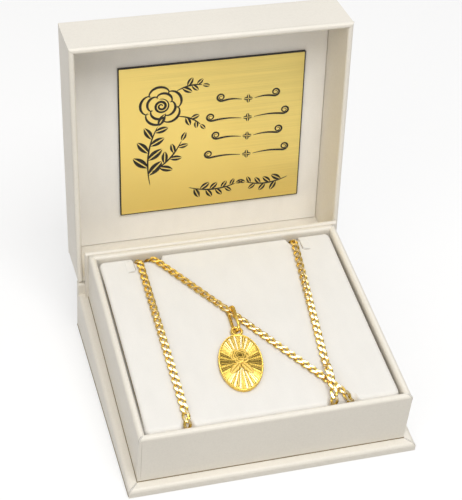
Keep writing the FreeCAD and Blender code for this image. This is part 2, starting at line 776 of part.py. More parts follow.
def edge_turn(corner, heading, from_level, to_level):
    """Points of a strand that runs to a pad edge, drops beside it and turns back below, in one upright plane.

    The corner is the plan point of the drop, and the heading is the plan direction towards the edge.
    """
    down = 1 if from_level > to_level else -1
    points = []
    for step in range(BEND_STEPS + 1):
        turn = math.pi / 2 * step / BEND_STEPS
        back = bend * (1 - math.sin(turn))
        level = from_level - down * bend * (1 - math.cos(turn))
        points.append(corner - heading * back + UP * level)
    for step in range(BEND_STEPS + 1):
        turn = math.pi / 2 * step / BEND_STEPS
        back = bend * (1 - math.cos(turn))
        level = to_level + down * bend * (1 - math.sin(turn))
        points.append(corner - heading * back + UP * level)
    return points


def straight_run(start, end, bumps):
    """Points of a shown run on the pad, lifted where it rides over something.

    A bump is the distance along the run, the lift, the half length at full lift and the ramp's length.
    """
    points = []
    length = (end - start).Length
    for step in range(RUN_STEPS + 1):
        along = length * step / RUN_STEPS
        lift = max([0.0] + [
            height * ease((flat + ramp - abs(along - place)) / ramp) for place, height, flat, ramp in bumps])
        points.append(start + (end - start) * (along / length) + UP * (shown_level + lift))
    return points


def plan_curve(start, start_heading, end, end_heading, reach, level):
    """A cubic in plan from one hidden drop to the next, at one level."""
    points = []
    pulls = (start, start + start_heading * reach, end - end_heading * reach, end)
    for step in range(RUN_STEPS + 1):
        share = step / RUN_STEPS
        rest = 1 - share
        weights = (rest ** 3, 3 * rest * rest * share, 3 * rest * share * share, share ** 3)
        plan = Vector()
        for pull, weight in zip(pulls, weights):
            plan += pull * weight
        points.append(plan + UP * level)
    return points


def evenly(points, step):
    """Marks at equal distances along a fine polyline, no farther apart than the step."""
    reach = [0.0]
    for before, after in zip(points, points[1:]):
        reach.append(reach[-1] + (after - before).Length)
    count = math.ceil(reach[-1] / step)
    marks = []
    index = 0
    for mark in range(count + 1):
        goal = reach[-1] * mark / count
        while index < len(points) - 2 and reach[index + 1] < goal:
            index += 1
        span = reach[index + 1] - reach[index]
        share = (goal - reach[index]) / span if span else 0.0
        marks.append(points[index] + (points[index + 1] - points[index]) * share)
    return marks


def chain(marks):
    """Links between marks. Each lies level across its heading, and turns flat to the wall where it drops.

    The few links at either end are rolled so that the clasp's wire goes square through them.
    """
    links = []
    last = None
    count = len(marks) - 1
    for index, (start, end) in enumerate(zip(marks, marks[1:])):
        along = unit(end - start)
        level_side = UP.cross(along)
        level_share = level_side.Length
        wall_side = Vector(1, 0, 0)
        if last is not None and level_side.dot(last) < 0:
            level_side = -level_side
        if last is not None and wall_side.dot(last) < 0:
            wall_side = -wall_side
        lateral = level_side + wall_side * (1 - level_share)
        lateral = unit(lateral - along * along.dot(lateral))
        last = lateral
        roll_share = max(0, 1 - (count - 1 - index) / ROLLED_LINKS) - max(0, 1 - index / ROLLED_LINKS)
        roll = math.radians(CLASP_ROLL) * roll_share
        lateral = lateral * math.cos(roll) + along.cross(lateral) * math.sin(roll)
        up = along.cross(lateral)
        frame = FreeCAD.Matrix(
            along.x, lateral.x, up.x, 0, along.y, lateral.y, up.y, 0, along.z, lateral.z, up.z, 0, 0, 0, 0, 1)
        link = LINK.copy()
        link.Placement = FreeCAD.Placement((start + end) / 2, FreeCAD.Placement(frame).Rotation)
        links.append(link)
    return links


def plan_heading(start, end):
    return unit(Vector(end.x - start.x, end.y - start.y, 0))


def run_end(side, inset, drop):
    """The plan point where a run drops: inset from the pad's left (-1) or right (1) edge."""
    return Vector(side * (pad_half_x - size(inset)).value, drop, 0)


left_back = run_end(-1, "left_run_back_inset", back_drop)
left_front = run_end(-1, "left_run_front_inset", front_drop)
diagonal_back = run_end(-1, "diagonal_run_back_inset", back_drop)
diagonal_front = run_end(1, "diagonal_run_front_inset", front_drop)
right_back = run_end(1, "right_run_back_inset", back_drop)
right_front = run_end(1, "right_run_front_inset", front_drop)
left_way = plan_heading(left_back, left_front)
diagonal_way = plan_heading(diagonal_back, diagonal_front)
right_way = plan_heading(right_front, right_back)


def plan_crossing(start, way, other, other_way):
    """Distance along the first line to where it crosses the second in plan."""
    gap = other - start
    return (gap.x * other_way.y - gap.y * other_way.x) / (way.x * other_way.y - way.y * other_way.x)


# The right run rides over the diagonal run
crossing = plan_crossing(right_front, right_way, diagonal_back, diagonal_way)
crossing_bump = (
    crossing - bend, 2 * link_height + clearance, size("crossing_flat").value, size("crossing_ramp").value)

# The bail leans: one wire is pressed into the pad under the diagonal run and the other lies over the run
bail_radius = size("bail_wire").value / 2
bail_low = pad_top.value - size("bail_sink").value + bail_radius
bail_span = size("bail_span").value
bail_rise = size("bail_rise").value
bail_lift = bail_low + bail_radius + clearance + link_height - shown_level
bail_along = (size("pendant_place").value - diagonal_back.x) / diagonal_way.x
bail_crossing = diagonal_back + diagonal_way * bail_along
bail_bump = (bail_along - bend, bail_lift, size("crossing_flat").value, size("crossing_ramp").value)
bail_way = Vector(math.sin(math.radians(BAIL_TURN)), math.cos(math.radians(BAIL_TURN)), 0)
bail_side = Vector(bail_way.y, -bail_way.x, 0)
bail_half = size("bail_length").value / 2
bail_middle = bail_crossing - bail_way * (bail_half - size("bail_over").value)
bail_middle += UP * (bail_low + bail_rise / 2)

# One closed loop, from one side of the clasp to the other
left_foot = left_front - left_way * bend
right_foot = right_front + right_way * bend
hidden_reach = size("hidden_turn_reach").value
front_turn = plan_curve(left_foot, -left_way, right_foot, -right_way, hidden_reach, high_level)
back_turn = plan_curve(
    right_back - right_way * bend, -right_way, diagonal_back + diagonal_way * bend, -diagonal_way,
    hidden_reach, high_level)
hidden_diagonal = plan_curve(
    diagonal_front - diagonal_way * bend, -diagonal_way, left_back + left_way * bend, -left_way,
    hidden_reach, low_level)
right_shown = straight_run(right_foot, right_back - right_way * bend, [crossing_bump])
diagonal_shown = straight_run(
    diagonal_back + diagonal_way * bend, diagonal_front - diagonal_way * bend, [bail_bump])
left_shown = straight_run(left_back + left_way * bend, left_foot, [])
clasp_reach = size("clasp_radius").value - size("clasp_hook").value
clasp_middle = front_turn[RUN_STEPS // 2]
loop = [point for point in front_turn[RUN_STEPS // 2:] if (point - clasp_middle).Length > clasp_reach]
loop += reversed(edge_turn(right_front, -right_way, right_shown[0].z, high_level))
loop += right_shown
loop += edge_turn(right_back, right_way, shown_level, high_level)
loop += back_turn
loop += reversed(edge_turn(diagonal_back, -diagonal_way, shown_level, high_level))
loop += diagonal_shown
loop += edge_turn(diagonal_front, diagonal_way, shown_level, low_level)
loop += hidden_diagonal
loop += reversed(edge_turn(left_back, -left_way, shown_level, low_level))
loop += left_shown
loop += edge_turn(left_front, left_way, shown_level, high_level)
loop += [point for point in front_turn[:RUN_STEPS // 2] if (point - clasp_middle).Length > clasp_reach]

half_way = (shown_level + high_level) / 2
runs = {"chain_left_run": [], "chain_diagonal_run": [], "chain_right_run": [], "chain_hidden_runs": []}
lines = {
    "chain_left_run": (left_back, left_way),
    "chain_diagonal_run": (diagonal_back, diagonal_way),
    "chain_right_run": (right_front, right_way),
}


def beside(line, point):
    """Plan distance from a line, given as a point and a direction."""
    gap = point - line[0]
    return abs(gap.x * line[1].y - gap.y * line[1].x)


marks = evenly(loop, pitch)
run_name = "chain_hidden_runs"
for link, start, end in zip(chain(marks), marks, marks[1:]):
    middle = (start + end) / 2
    shown = middle.z > half_way
    if not shown:
        run_name = "chain_hidden_runs"
    elif run_name == "chain_hidden_runs":
        run_name = min(lines, key=lambda name: beside(lines[name], middle))
    runs[run_name].append(link)
print("links", {name: len(links) for name, links in runs.items()})
print("necklace length", round(sum((b - a).Length for a, b in zip(marks, marks[1:])), 1))


def keep_shape(label, shape):
    """A piece whose solid is made by a formula in the tray frame."""
    piece = keep(doc.addObject("Part::Feature", label))
    piece.Label = label
    piece.Shape = shape
    in_tray(piece)
    return piece


for label, links in runs.items():
    keep_shape(label, Part.makeCompound(links))


def oval_ring(middle, along, across, straight_half, end_radius, wire_radius):
    """A closed wire ring: two half circles about the ends of a straight stretch."""
    normal = unit(along.cross(across))
    centres = []
    for step in range(RING_SEGMENTS):
        turn = 2 * math.pi * (step + 0.5) / RING_SEGMENTS
        end = straight_half if math.cos(turn) > 0 else -straight_half
        centres.append(middle + along * (end + end_radius * math.cos(turn)) + across * (end_radius * math.sin(turn)))
    return closed_ring(centres, [normal] * RING_SEGMENTS, wire_radius, RING_SIDES)


bail_across = bail_side * bail_span + UP * bail_rise
bail_end_radius = bail_across.Length / 2
keep_shape("pendant_bail", oval_ring(
    bail_middle, bail_way, unit(bail_across), bail_half - bail_end_radius, bail_end_radius, bail_radius))

# The pad's back and front edges are pressed round where runs go over them
NOTCH_STEPS = 3


def plain(length):
    """A worked-out length as a size."""
    return Size(length, repr(length))


notch_radius = bend - link_height - clearance
notch_level = shown_level - bend
over = overrun.value


def notch_outline(edge, middle):
    """Outline of the room that a turning run takes from the pad's back (1) or front (-1) edge."""
    outside = edge * (pad_half_y.value + over)
    points = [
        (middle, pad_top.value + over),
        (outside, pad_top.value + over),
        (outside, pad_foot.value - over),
        (middle + edge * notch_radius, pad_foot.value - over),
    ]
    for step in range(NOTCH_STEPS + 1):
        turn = math.pi / 2 * step / NOTCH_STEPS
        points.append((
            middle + edge * notch_radius * math.cos(turn), notch_level + notch_radius * math.sin(turn)))
    return [(plain(y), plain(z)) for y, z in points]


half_link = size("link_width").value / 2 + size("notch_side_clearance").value
for edge, turn_place, ends in (
    (1, back_drop - bend, ((left_back, left_way), (diagonal_back, diagonal_way))),
    (1, back_drop - bend, ((right_back, right_way),)),
    (-1, front_drop + bend, ((left_front, left_way),)),
    (-1, front_drop + bend, ((right_front, right_way), (diagonal_front, diagonal_way))),
):
    reach = [corner.x for corner, way in ends]
    reach += [corner.x - edge * way.x / way.y * bend for corner, way in ends]
    low, high = min(reach) - half_link, max(reach) + half_link
    print("notch", edge, round(low, 2), round(high, 2))
    notch = new_sketch(pad_cushion, "YZ_Plane", plain((low + high) / 2))
    draw_polygon(notch, notch_outline(edge, turn_place - pad_middle.value))
    cut(pad_cushion, notch, plain(high - low), middle=True)

# The pad has a groove for the bail's low wire
groove_half = bail_radius + size("bail_groove_clearance").value
low_wire = bail_middle - bail_side * (bail_span / 2) - Vector(0, pad_middle.value, 0)
groove_corners = []
groove_climb = bail_span * size("bail_sink").value / bail_rise
for end, side_reach in (
    (-1, -groove_half), (1, -groove_half), (1, groove_half + groove_climb), (-1, groove_half + groove_climb)
):
    corner = low_wire + bail_way * (end * (bail_half + groove_half)) + bail_side * side_reach
    groove_corners.append((plain(corner.x), plain(corner.y)))
groove = new_sketch(pad_cushion, "XY_Plane", pad_top)
draw_polygon(groove, groove_corners)
cut(pad_cushion, groove, size("bail_sink") + size("bail_groove_clearance"))

clasp_ring = oval_ring(clasp_middle, Vector(1, 0, 0), Vector(0, 1, 0), 0, size("clasp_radius").value,
                       size("clasp_wire").value / 2)
keep_shape("clasp_ring", clasp_ring)

# Medal: an oval disc with a rim, a raised rose with two leaves, and its eyelet
eyelet_radius = size("eyelet_radius").value
eyelet_wire = size("eyelet_wire").value / 2
medal_half_width = size("medal_width").value / 2
medal_half_length = size("medal_length").value / 2
medal_half = size("medal_thickness").value / 2


def oval(half_width, half_length, low, high):
    """An oval disc about the medal's middle."""
    if half_width > half_length:
        edge = Part.Ellipse(Vector(0, 0, low), half_width, half_length)
        face = Part.Face(Part.Wire(edge.toShape()))
    else:
        edge = Part.Ellipse(Vector(0, half_length, low), Vector(half_width, 0, low), Vector(0, 0, low))
        face = Part.Face(Part.Wire(edge.toShape()))
    return face.extrude(Vector(0, 0, high - low))


rim_width = size("medal_rim_width").value
rim_top = medal_half + size("medal_rim_height").value
relief_top = medal_half + size("medal_relief_height").value
medal = oval(medal_half_width, medal_half_length, -medal_half, medal_half)
rim = oval(medal_half_width, medal_half_length, 0, rim_top)
rim = rim.cut(oval(medal_half_width - rim_width, medal_half_length - rim_width, 0, rim_top + medal_half))
bloom_radius = size("medal_relief_width").value / 2
BLOOM_UP_SHARE = 0.25
BLOOM_RING_SHARES = (1.0, 0.5)
LEAF_SHARES = (0.34, 0.9)
LEAF_TURN = 38.0
LEAF_STEPS = 12
bloom_middle = Vector(0, size("medal_relief_length").value * BLOOM_UP_SHARE, 0)
relief = []
for level, ring_share in enumerate(BLOOM_RING_SHARES, start=1):
    top = medal_half + size("medal_relief_height").value * level / len(BLOOM_RING_SHARES)
    relief.append(Part.makeCylinder(bloom_radius * ring_share, top, bloom_middle))
for side in (-1, 1):
    leaf_points = []
    for step in range(LEAF_STEPS + 1):
        turn = 2 * math.pi * step / LEAF_STEPS
        leaf_points.append(Vector(
            bloom_radius * LEAF_SHARES[0] * math.sin(turn), bloom_radius * LEAF_SHARES[1] * math.cos(turn), 0))
    leaf = Part.Face(Part.makePolygon(leaf_points)).extrude(UP * relief_top)
    leaf.translate(Vector(0, -bloom_radius * LEAF_SHARES[1], 0))
    leaf.rotate(Vector(), UP, side * LEAF_TURN)
    leaf.translate(bloom_middle - Vector(0, bloom_radius, 0))
    relief.append(leaf)
eyelet_middle = Vector(0, medal_half_length + eyelet_radius, 0)
eyelet = oval_ring(eyelet_middle, Vector(1, 0, 0), Vector(0, 1, 0), 0, eyelet_radius, eyelet_wire)
medal = medal.fuse([rim, eyelet] + relief).removeSplitter()

pendant_way = Vector(math.sin(math.radians(PENDANT_TURN)), math.cos(math.radians(PENDANT_TURN)), 0)
bail_foot = bail_middle - bail_way * bail_half
eyelet_place = bail_foot + bail_way * size("eyelet_hook").value - pendant_way * eyelet_radius
medal_turn = FreeCAD.Rotation(UP, -PENDANT_TURN).multiply(FreeCAD.Rotation(Vector(1, 0, 0), MEDAL_TILT))
medal.Placement = FreeCAD.Placement(eyelet_place - medal_turn.multVec(eyelet_middle), medal_turn)
keep_shape("pendant_medal", Part.makeCompound([medal]))
doc.recompute()

# Every object has to be sound before anything is written
for thing in doc.Objects:
    if "Invalid" in thing.State or "Error" in thing.State:
        raise ValueError("%s is not sound: %s" % (thing.Label, thing.State))
os.makedirs("parts", exist_ok=True)
for piece in PIECES:
    if piece.Shape.isNull() or not piece.Shape.isValid():
        raise ValueError("%s has no valid shape" % piece.Label)
    piece.Shape.exportStep("parts/%s.step" % piece.Label)
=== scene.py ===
"""Looks of a jewellery presentation box.

Wrapped boards, a suede pad, a curb necklace with a medal, and a plaque. The pieces' own formulas are in
millimetres and become metres when a mesh is made. The tray frame has its origin at the middle of the
plinth's ledge and its third axis square to the ledge.
"""

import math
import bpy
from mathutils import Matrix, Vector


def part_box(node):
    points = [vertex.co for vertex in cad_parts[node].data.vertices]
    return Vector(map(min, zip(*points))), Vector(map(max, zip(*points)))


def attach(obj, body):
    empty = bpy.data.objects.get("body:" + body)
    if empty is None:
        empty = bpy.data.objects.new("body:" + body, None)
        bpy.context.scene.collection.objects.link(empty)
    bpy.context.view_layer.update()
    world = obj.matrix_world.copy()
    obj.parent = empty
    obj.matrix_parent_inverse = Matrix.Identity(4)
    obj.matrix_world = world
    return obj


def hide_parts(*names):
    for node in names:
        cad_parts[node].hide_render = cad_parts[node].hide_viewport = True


bl_info = {
    "name": "Presentation Box Looks",
    "version": (1, 0, 0),
    "blender": (4, 5, 0),
    "location": "3D View > Sidebar > Box",
    "description": "Leatherette, suede and gold for a presentation box with a curb necklace",
    "category": "Object",
}

import bpy
import numpy as np
from bpy.props import FloatProperty, FloatVectorProperty, PointerProperty
from mathutils import Matrix

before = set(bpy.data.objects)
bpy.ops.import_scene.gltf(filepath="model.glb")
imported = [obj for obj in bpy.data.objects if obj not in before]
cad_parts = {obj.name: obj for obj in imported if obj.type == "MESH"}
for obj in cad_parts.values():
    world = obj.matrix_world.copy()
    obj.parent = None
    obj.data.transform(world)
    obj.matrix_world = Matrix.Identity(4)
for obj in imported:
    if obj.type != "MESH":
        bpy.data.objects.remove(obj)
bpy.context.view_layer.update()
MM = 0.001
PER_MM = 1.0 / MM
FULL_TURN = 2.0 * math.pi
TINY = 1e-9
PLAIN_TONE = 0.55
BOTH_SIDES = (-1.0, 1.0)

# Tray frame
PLINTH_RISE = 14.1
PLINTH_MIDDLE = 10.05
BOX_DEPTH = 87.5
TILT = math.atan2(PLINTH_RISE, BOX_DEPTH)
TRAY_AXES = np.array([
    [1.0, 0.0, 0.0],
    [0.0, math.cos(TILT), math.sin(TILT)],
    [0.0, -math.sin(TILT), math.cos(TILT)],
])
TRAY_PLACE = PLINTH_MIDDLE * TRAY_AXES[2]


def from_tray(points):
    """Tray-frame points in the room: the tray's axes times the coordinates, from the ledge's middle."""
    return (points.reshape(-1, 3) @ TRAY_AXES + TRAY_PLACE).reshape(points.shape)


def to_tray(points):
    """Room points in the tray frame."""
    return (points - TRAY_PLACE) @ TRAY_AXES.T


def node_points(node):
    """A CAD node's corners in millimetres, one for each place, and its triangles as corner numbers."""
    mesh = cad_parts[node].data
    places = np.empty(len(mesh.vertices) * 3)
    mesh.vertices.foreach_get("co", places)
    mesh.calc_loop_triangles()
    corners = np.empty(len(mesh.loop_triangles) * 3, dtype=np.int64)
    mesh.loop_triangles.foreach_get("vertices", corners)
    places = np.round(places.reshape(-1, 3) / MM, 4)
    points, number = np.unique(places, axis=0, return_inverse=True)
    return points, number.reshape(-1)[corners].reshape(-1, 3)


def in_mm(corners):
    """A box's low and high corners in millimetres."""
    return [np.array(corner) / MM for corner in corners]


def smooth(value):
    """Eased step: 3 v^2 - 2 v^3 with v held between 0 and 1."""
    value = np.clip(value, 0.0, 1.0)
    return value * value * (3.0 - 2.0 * value)


def turns(count, ahead=0.0):
    """Equal steps of a full turn, the first one a share of a step ahead of zero."""
    return FULL_TURN * (np.arange(count) + ahead) / count


def unit(rows):
    """Each row at length 1."""
    return rows / np.linalg.norm(rows, axis=1)[:, None]


def tapered(count, ease):
    """Shares along a line: 0 at both ends, and 1 from one part in the given number inwards."""
    share = np.linspace(0.0, 1.0, count)
    return np.minimum(1.0, ease * np.minimum(share, 1.0 - share))


def points_at(x, y, z):
    """Points from their coordinates; each is a number or an array, spread to one shape."""
    return np.stack(np.broadcast_arrays(x, y, z), axis=-1)


def grid_quads(rows, columns, wrap_rows=False, wrap_columns=False):
    """Quads of a grid: each joins a point, its neighbour in the row and the two beside them a row on."""
    row = np.arange(rows if wrap_rows else rows - 1)[:, None]
    column = np.arange(columns if wrap_columns else columns - 1)[None, :]
    next_row = (row + 1) % rows
    next_column = (column + 1) % columns
    corners = (
        row * columns + column,
        row * columns + next_column,
        next_row * columns + next_column,
        next_row * columns + column,
    )
    return np.stack(np.broadcast_arrays(*corners), axis=-1).reshape(-1, 4)


class Shell:
    """Points and faces of one piece, gathered part by part."""

    def __init__(self):
        self.points = []
        self.faces = []
        self.tones = []
        self.count = 0

    def add(self, points, *faces, tones=None):
        """Take a closed part; its faces are turned over where the volume that they enclose is negative."""
        volume = 0.0
        for block in faces:
            first = points[block[:, 0]]
            for step in range(1, block.shape[1] - 1):
                turn = np.cross(points[block[:, step]], points[block[:, step + 1]])
                volume += np.einsum("ij,ij->", first, turn)
        for block in faces:
            if volume < 0.0:
                block = block[:, ::-1]
            self.faces.extend((block + self.count).tolist())
        self.points.append(points)
        self.tones.append(np.full(len(points), PLAIN_TONE) if tones is None else tones)
        self.count += len(points)

    def add_ring(self, rows):
        """A tube whose rows and columns both close, as an array of rows, columns and coordinates."""
        self.add(rows.reshape(-1, 3), grid_quads(rows.shape[0], rows.shape[1], True, True))

    def add_spindle(self, rows, tones=None):
        """A form of closed rows between two poles: the first and last rows shrink to their middles."""
        count, columns = rows.shape[:2]
        points = np.concatenate([rows[[0, -1]].mean(axis=1), rows[1:-1].reshape(-1, 3)])
        if tones is not None:
            tones = np.concatenate([tones[[0, -1]].mean(axis=1), tones[1:-1].reshape(-1)])
        around = np.arange(columns)
        beside = (around + 1) % columns
        last = 2 + (count - 3) * columns
        start_fan = np.stack([np.zeros_like(around), 2 + beside, 2 + around], axis=1)
        end_fan = np.stack([np.ones_like(around), last + around, last + beside], axis=1)
        self.add(points, grid_quads(count - 2, columns, False, True) + 2, start_fan, end_fan, tones=tones)

    def piece(self, name, body, slot, material):
        """Make the object, smooth shaded, in the room frame and riding on a body."""
        mesh = bpy.data.meshes.new(name)
        mesh.from_pydata((np.concatenate(self.points) * MM).tolist(), [], self.faces)
        mesh.shade_smooth()
        mesh.materials.append(material)
        tone = mesh.attributes.new("tone", "FLOAT", "POINT")
        tone.data.foreach_set("value", np.concatenate(self.tones).astype(np.float32))
        made = bpy.data.objects.new(name, mesh)
        bpy.context.scene.collection.objects.link(made)
        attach(made, body)
        return made


def tube_rows(path, side, up, wide, tall, round_it):
    """A wire carried along a path: at each point an oval with its half widths to the side and up."""
    return (path[:, None, :]
            + wide * np.cos(round_it)[None, :, None] * side[..., None, :]
            + tall * np.sin(round_it)[None, :, None] * up[..., None, :])


def lens_rows(path, side, up, half_widths, half_height):
    """A flat lens carried along a path: left edge, top, right edge, bottom at each point."""
    wide = side * half_widths[:, None]
    tall = up * half_height
    return np.stack([path - wide, path + tall, path + wide, path - tall], axis=1)


class Value:
    """A socket of a node tree; arithmetic on it adds Math nodes."""

    def __init__(self, tree, socket):
        self.tree = tree
        self.socket = socket

    def math_node(self, operation, first, second):
        """A Math node's result."""
        return self.tree.node("ShaderNodeMath", {"operation": operation}, {0: first, 1: second})

    def __add__(self, other):
        return self.math_node("ADD", self, other)

    def __radd__(self, other):
        return self.math_node("ADD", other, self)

    def __sub__(self, other):
        return self.math_node("SUBTRACT", self, other)

    def __rsub__(self, other):
        return self.math_node("SUBTRACT", other, self)

    def __mul__(self, other):
        return self.math_node("MULTIPLY", self, other)

    def __rmul__(self, other):
        return self.math_node("MULTIPLY", other, self)


class Nodes:
    """A node tree that is written as calls."""

    def __init__(self, tree):
        self.tree = tree

    def put(self, socket, value):
        """Link a value to a socket, or set the socket's own number or colour."""
        if isinstance(value, Value):
            self.tree.links.new(value.socket, socket)
        else:
            socket.default_value = value

    def node(self, kind, settings=None, inputs=None, output=0):
        """Add a node: its settings first, then its sockets' values or links; gives back one output."""
        made = self.tree.nodes.new(kind)
        for name, value in (settings or {}).items():
            if name == "stops":
                ramp = made.color_ramp.elements
                while len(ramp) < len(value):
                    ramp.new(0.5)
                for stop, (place, colour) in zip(ramp, value):
                    stop.position = place
                    stop.color = colour
            else:
                setattr(made, name, value)
        for name, value in (inputs or {}).items():
            self.put(made.inputs[name], value)
        return Value(self, made.outputs[output])

    def place(self):
        """Object coordinates, in metres."""
        return self.node("ShaderNodeTexCoord", output="Object")

    def blend(self, share, first, second):
        """Two colours mixed by a share."""
        settings = {"data_type": "RGBA", "clamp_factor": True}
        return self.node("ShaderNodeMix", settings, {0: share, 6: first, 7: second}, output=2)

    def noise(self, where, scale, detail=2.0):
        """Noise with so many grains to one unit of the coordinates."""
        return self.node("ShaderNodeTexNoise", None, {"Vector": where, "Scale": scale, "Detail": detail})

    def stretched(self, where, per_mm):
        """Coordinates that count so many steps to a millimetre along each axis."""
        scales = tuple(value * PER_MM for value in per_mm)
        return self.node("ShaderNodeMapping", None, {"Vector": where, "Scale": scales})


class Finish(Nodes):
    """A material about one Principled shader; constants go straight on its sockets."""

    def __init__(self, name, constants=None):
        self.material = bpy.data.materials.new(name)
        self.material.use_nodes = True
        super().__init__(self.material.node_tree)
        self.shader = self.tree.nodes["Principled BSDF"]
        for socket, value in (constants or {}).items():
            self.feed(socket, value)

    def feed(self, socket, value):
        """Set or link one of the shader's sockets."""
        self.put(self.shader.inputs[socket], value)

    def bump(self, height, depth, strength=1.0):
        """Relief of a height that runs from 0 to 1, with its depth in millimetres."""
        inputs = {"Height": height, "Distance": depth * MM, "Strength": strength}
        self.feed("Normal", self.node("ShaderNodeBump", None, inputs))


# Finishes: features to a millimetre, and what share of the colour their dark parts keep
PORES = 1.9
LEATHER_GRAINS = 0.9
CLOUDS = 0.035
PORE_SHADE = 0.84
FIBRES = 4.2
NAP_STROKES = (0.22, 0.09, 0.09)
NAP_SHADE = 0.86
POLISH_MARKS = 2.4
WARM_CLOUDS = 0.12
WARM_SHADE = 0.88
# Struck gold: the share of the colour that its painted hollow shade keeps, and that its plain faces keep
HOLLOW_SHADE = 0.12
STRUCK_SHADE = 0.85
HAIR_LINES = (0.03, 1.0, 5.0)
BROAD_LINES = (0.012, 1.0, 0.5)
# Plaque foil: slope of its painted shade to a millimetre, where that shade starts, and the share of the
# colour kept by its dark hair lines and painted shade alike
FOIL_SHADE_SLOPE = (0.014, 0.0, 0.014)
FOIL_START = 0.95
FOIL_SHADE = 0.68
PLAIN_SHADE = 0.8
# Struck golds: name, roughness, grains to a millimetre, and the share of white in the palest faces, a
# painted highlight
FILED_GOLD = ("filed gold", 0.2, 2.4, 0.6)
CUT_GOLD = ("cut gold", 0.26, 2.4, 0.75)
MATT_GOLD = ("matt gold", 0.5, 3.5, 0.5)


def opaque(colour, share=1.0):
    """A share of a colour, with its alpha."""
    return (colour[0] * share, colour[1] * share, colour[2] * share, 1.0)


def leatherette(name, colour):
    """Coated cloth: fine pores and grain in the relief, soft clouds and darker pores in the colour."""
    finish = Finish(name, {"Specular IOR Level": 0.55})
    where = finish.place()
    pores = finish.node("ShaderNodeTexVoronoi", {"feature": "SMOOTH_F1"}, {
        "Vector": where, "Scale": PORES * PER_MM, "Smoothness": 0.5})
    grain = finish.noise(where, LEATHER_GRAINS * PER_MM, detail=4.0)
    cloud = finish.noise(where, CLOUDS * PER_MM, detail=3.0)
    tone = (cloud - 0.5) * 0.5 + pores * 0.32 + (grain - 0.5) * 0.3
    finish.feed("Base Color", finish.blend(tone, opaque(colour), opaque(colour, PORE_SHADE)))
    finish.feed("Roughness", grain * 0.2 + 0.32)
    finish.bump(pores * 0.65 + grain * 0.5, depth=0.05, strength=0.5)
    return finish.material


def suede(name, colour, sheen):
    """Brushed nap: fine fibres in the relief, strokes of lighter and darker nap in the colour."""
    finish = Finish(name, {"Sheen Weight": sheen, "Sheen Roughness": 0.45, "Specular IOR Level": 0.12})
    where = finish.place()
    fibre = finish.noise(where, FIBRES * PER_MM, detail=5.0)
    stroke = finish.noise(finish.stretched(where, NAP_STROKES), 1.0, detail=3.0)
    tone = (fibre - 0.5) * 0.7 + (stroke - 0.5) * 0.55 + 0.25
    finish.feed("Base Color", finish.blend(tone, opaque(colour), opaque(colour, NAP_SHADE)))
    finish.feed("Roughness", fibre * 0.12 + 0.86)
    finish.bump(fibre * 0.7 + stroke * 0.3, depth=0.06, strength=0.45)
    return finish.material


def polished_gold(name, colour):
    """Polished gold: a clean metal with fine polishing marks in its gloss."""
    finish = Finish(name, {"Metallic": 1.0})
    where = finish.place()
    marks = finish.noise(where, POLISH_MARKS * PER_MM, detail=4.0)
    warmth = finish.noise(where, WARM_CLOUDS * PER_MM, detail=2.0)
    finish.feed("Base Color", finish.blend(warmth, opaque(colour), opaque(colour, WARM_SHADE)))
    finish.feed("Roughness", marks * 0.16 + 0.08)
    finish.bump(marks, depth=0.02, strength=0.25)
    return finish.material


def struck_gold(colour, name, roughness, grain, white):
    """Struck gold: a point's tone runs from painted shade in the hollows over the gold to faces with a share
    of white, a painted highlight.
    """
    finish = Finish(name, {"Metallic": 1.0})
    tone = finish.node("ShaderNodeAttribute", {"attribute_name": "tone"}, output="Fac")
    texture = finish.noise(finish.place(), grain * PER_MM, detail=4.0)
    pale = tuple(value + (1.0 - value) * white for value in colour)
    painted_hollow_shade = opaque(colour, HOLLOW_SHADE)
    plain = opaque(colour, STRUCK_SHADE)
    stops = ((0.0, painted_hollow_shade), (PLAIN_TONE, plain), (1.0, opaque(pale)))
    mottled = tone + (texture - 0.5) * 0.1
    finish.feed("Base Color", finish.node("ShaderNodeValToRGB", {"stops": stops}, {"Fac": mottled}))
    finish.feed("Roughness", texture * 0.2 + (roughness - 0.1))
    finish.bump(texture, depth=0.05, strength=roughness)
    return finish.material


def brushed_gold(name, colour):
    """Brushed gold foil: hair lines in colour, gloss and relief, and painted shade that darkens the colour
    to the right and up.
    """
    finish = Finish(name, {"Metallic": 0.88, "Anisotropic": 0.8, "Anisotropic Rotation": 0.25})
    where = finish.place()
    hair = finish.noise(finish.stretched(where, HAIR_LINES), 1.0, detail=4.0)
    broad = finish.noise(finish.stretched(where, BROAD_LINES), 1.0, detail=2.0)
    # Painted shade: the foil grows darker to the right and up
    shade_slope = finish.stretched(where, FOIL_SHADE_SLOPE)
    right = finish.node("ShaderNodeSeparateXYZ", None, {0: shade_slope}, output="X")
    up = finish.node("ShaderNodeSeparateXYZ", None, {0: shade_slope}, output="Z")
    tone = (hair - 0.5) * 0.9 + (broad - 0.5) * 0.5 + right + up - FOIL_START
    finish.feed("Base Color", finish.blend(tone, opaque(colour), opaque(colour, FOIL_SHADE)))
    finish.feed("Roughness", hair * 0.2 + 0.3)
    finish.bump(hair, depth=0.02, strength=0.3)
    return finish.material


def plain_finish(name, colour, roughness, grain, depth, metal=0.0):
    """A quiet material: one grain size in its colour, gloss and relief."""
    finish = Finish(name, {"Metallic": metal})
    texture = finish.noise(finish.place(), grain * PER_MM, detail=4.0)
    finish.feed("Base Color", finish.blend(texture, opaque(colour), opaque(colour, PLAIN_SHADE)))
    finish.feed("Roughness", texture * 0.2 + (roughness - 0.1))
    finish.bump(texture, depth, strength=0.4)
    return finish.material


def colour_property(name, description, default):
    return FloatVectorProperty(
        name=name, description=description, default=default, subtype="COLOR", size=3, min=0.0, max=1.0)


def length_property(name, description, default):
    return FloatProperty(name=name, description=description, default=default * MM, unit="LENGTH", min=0.0)


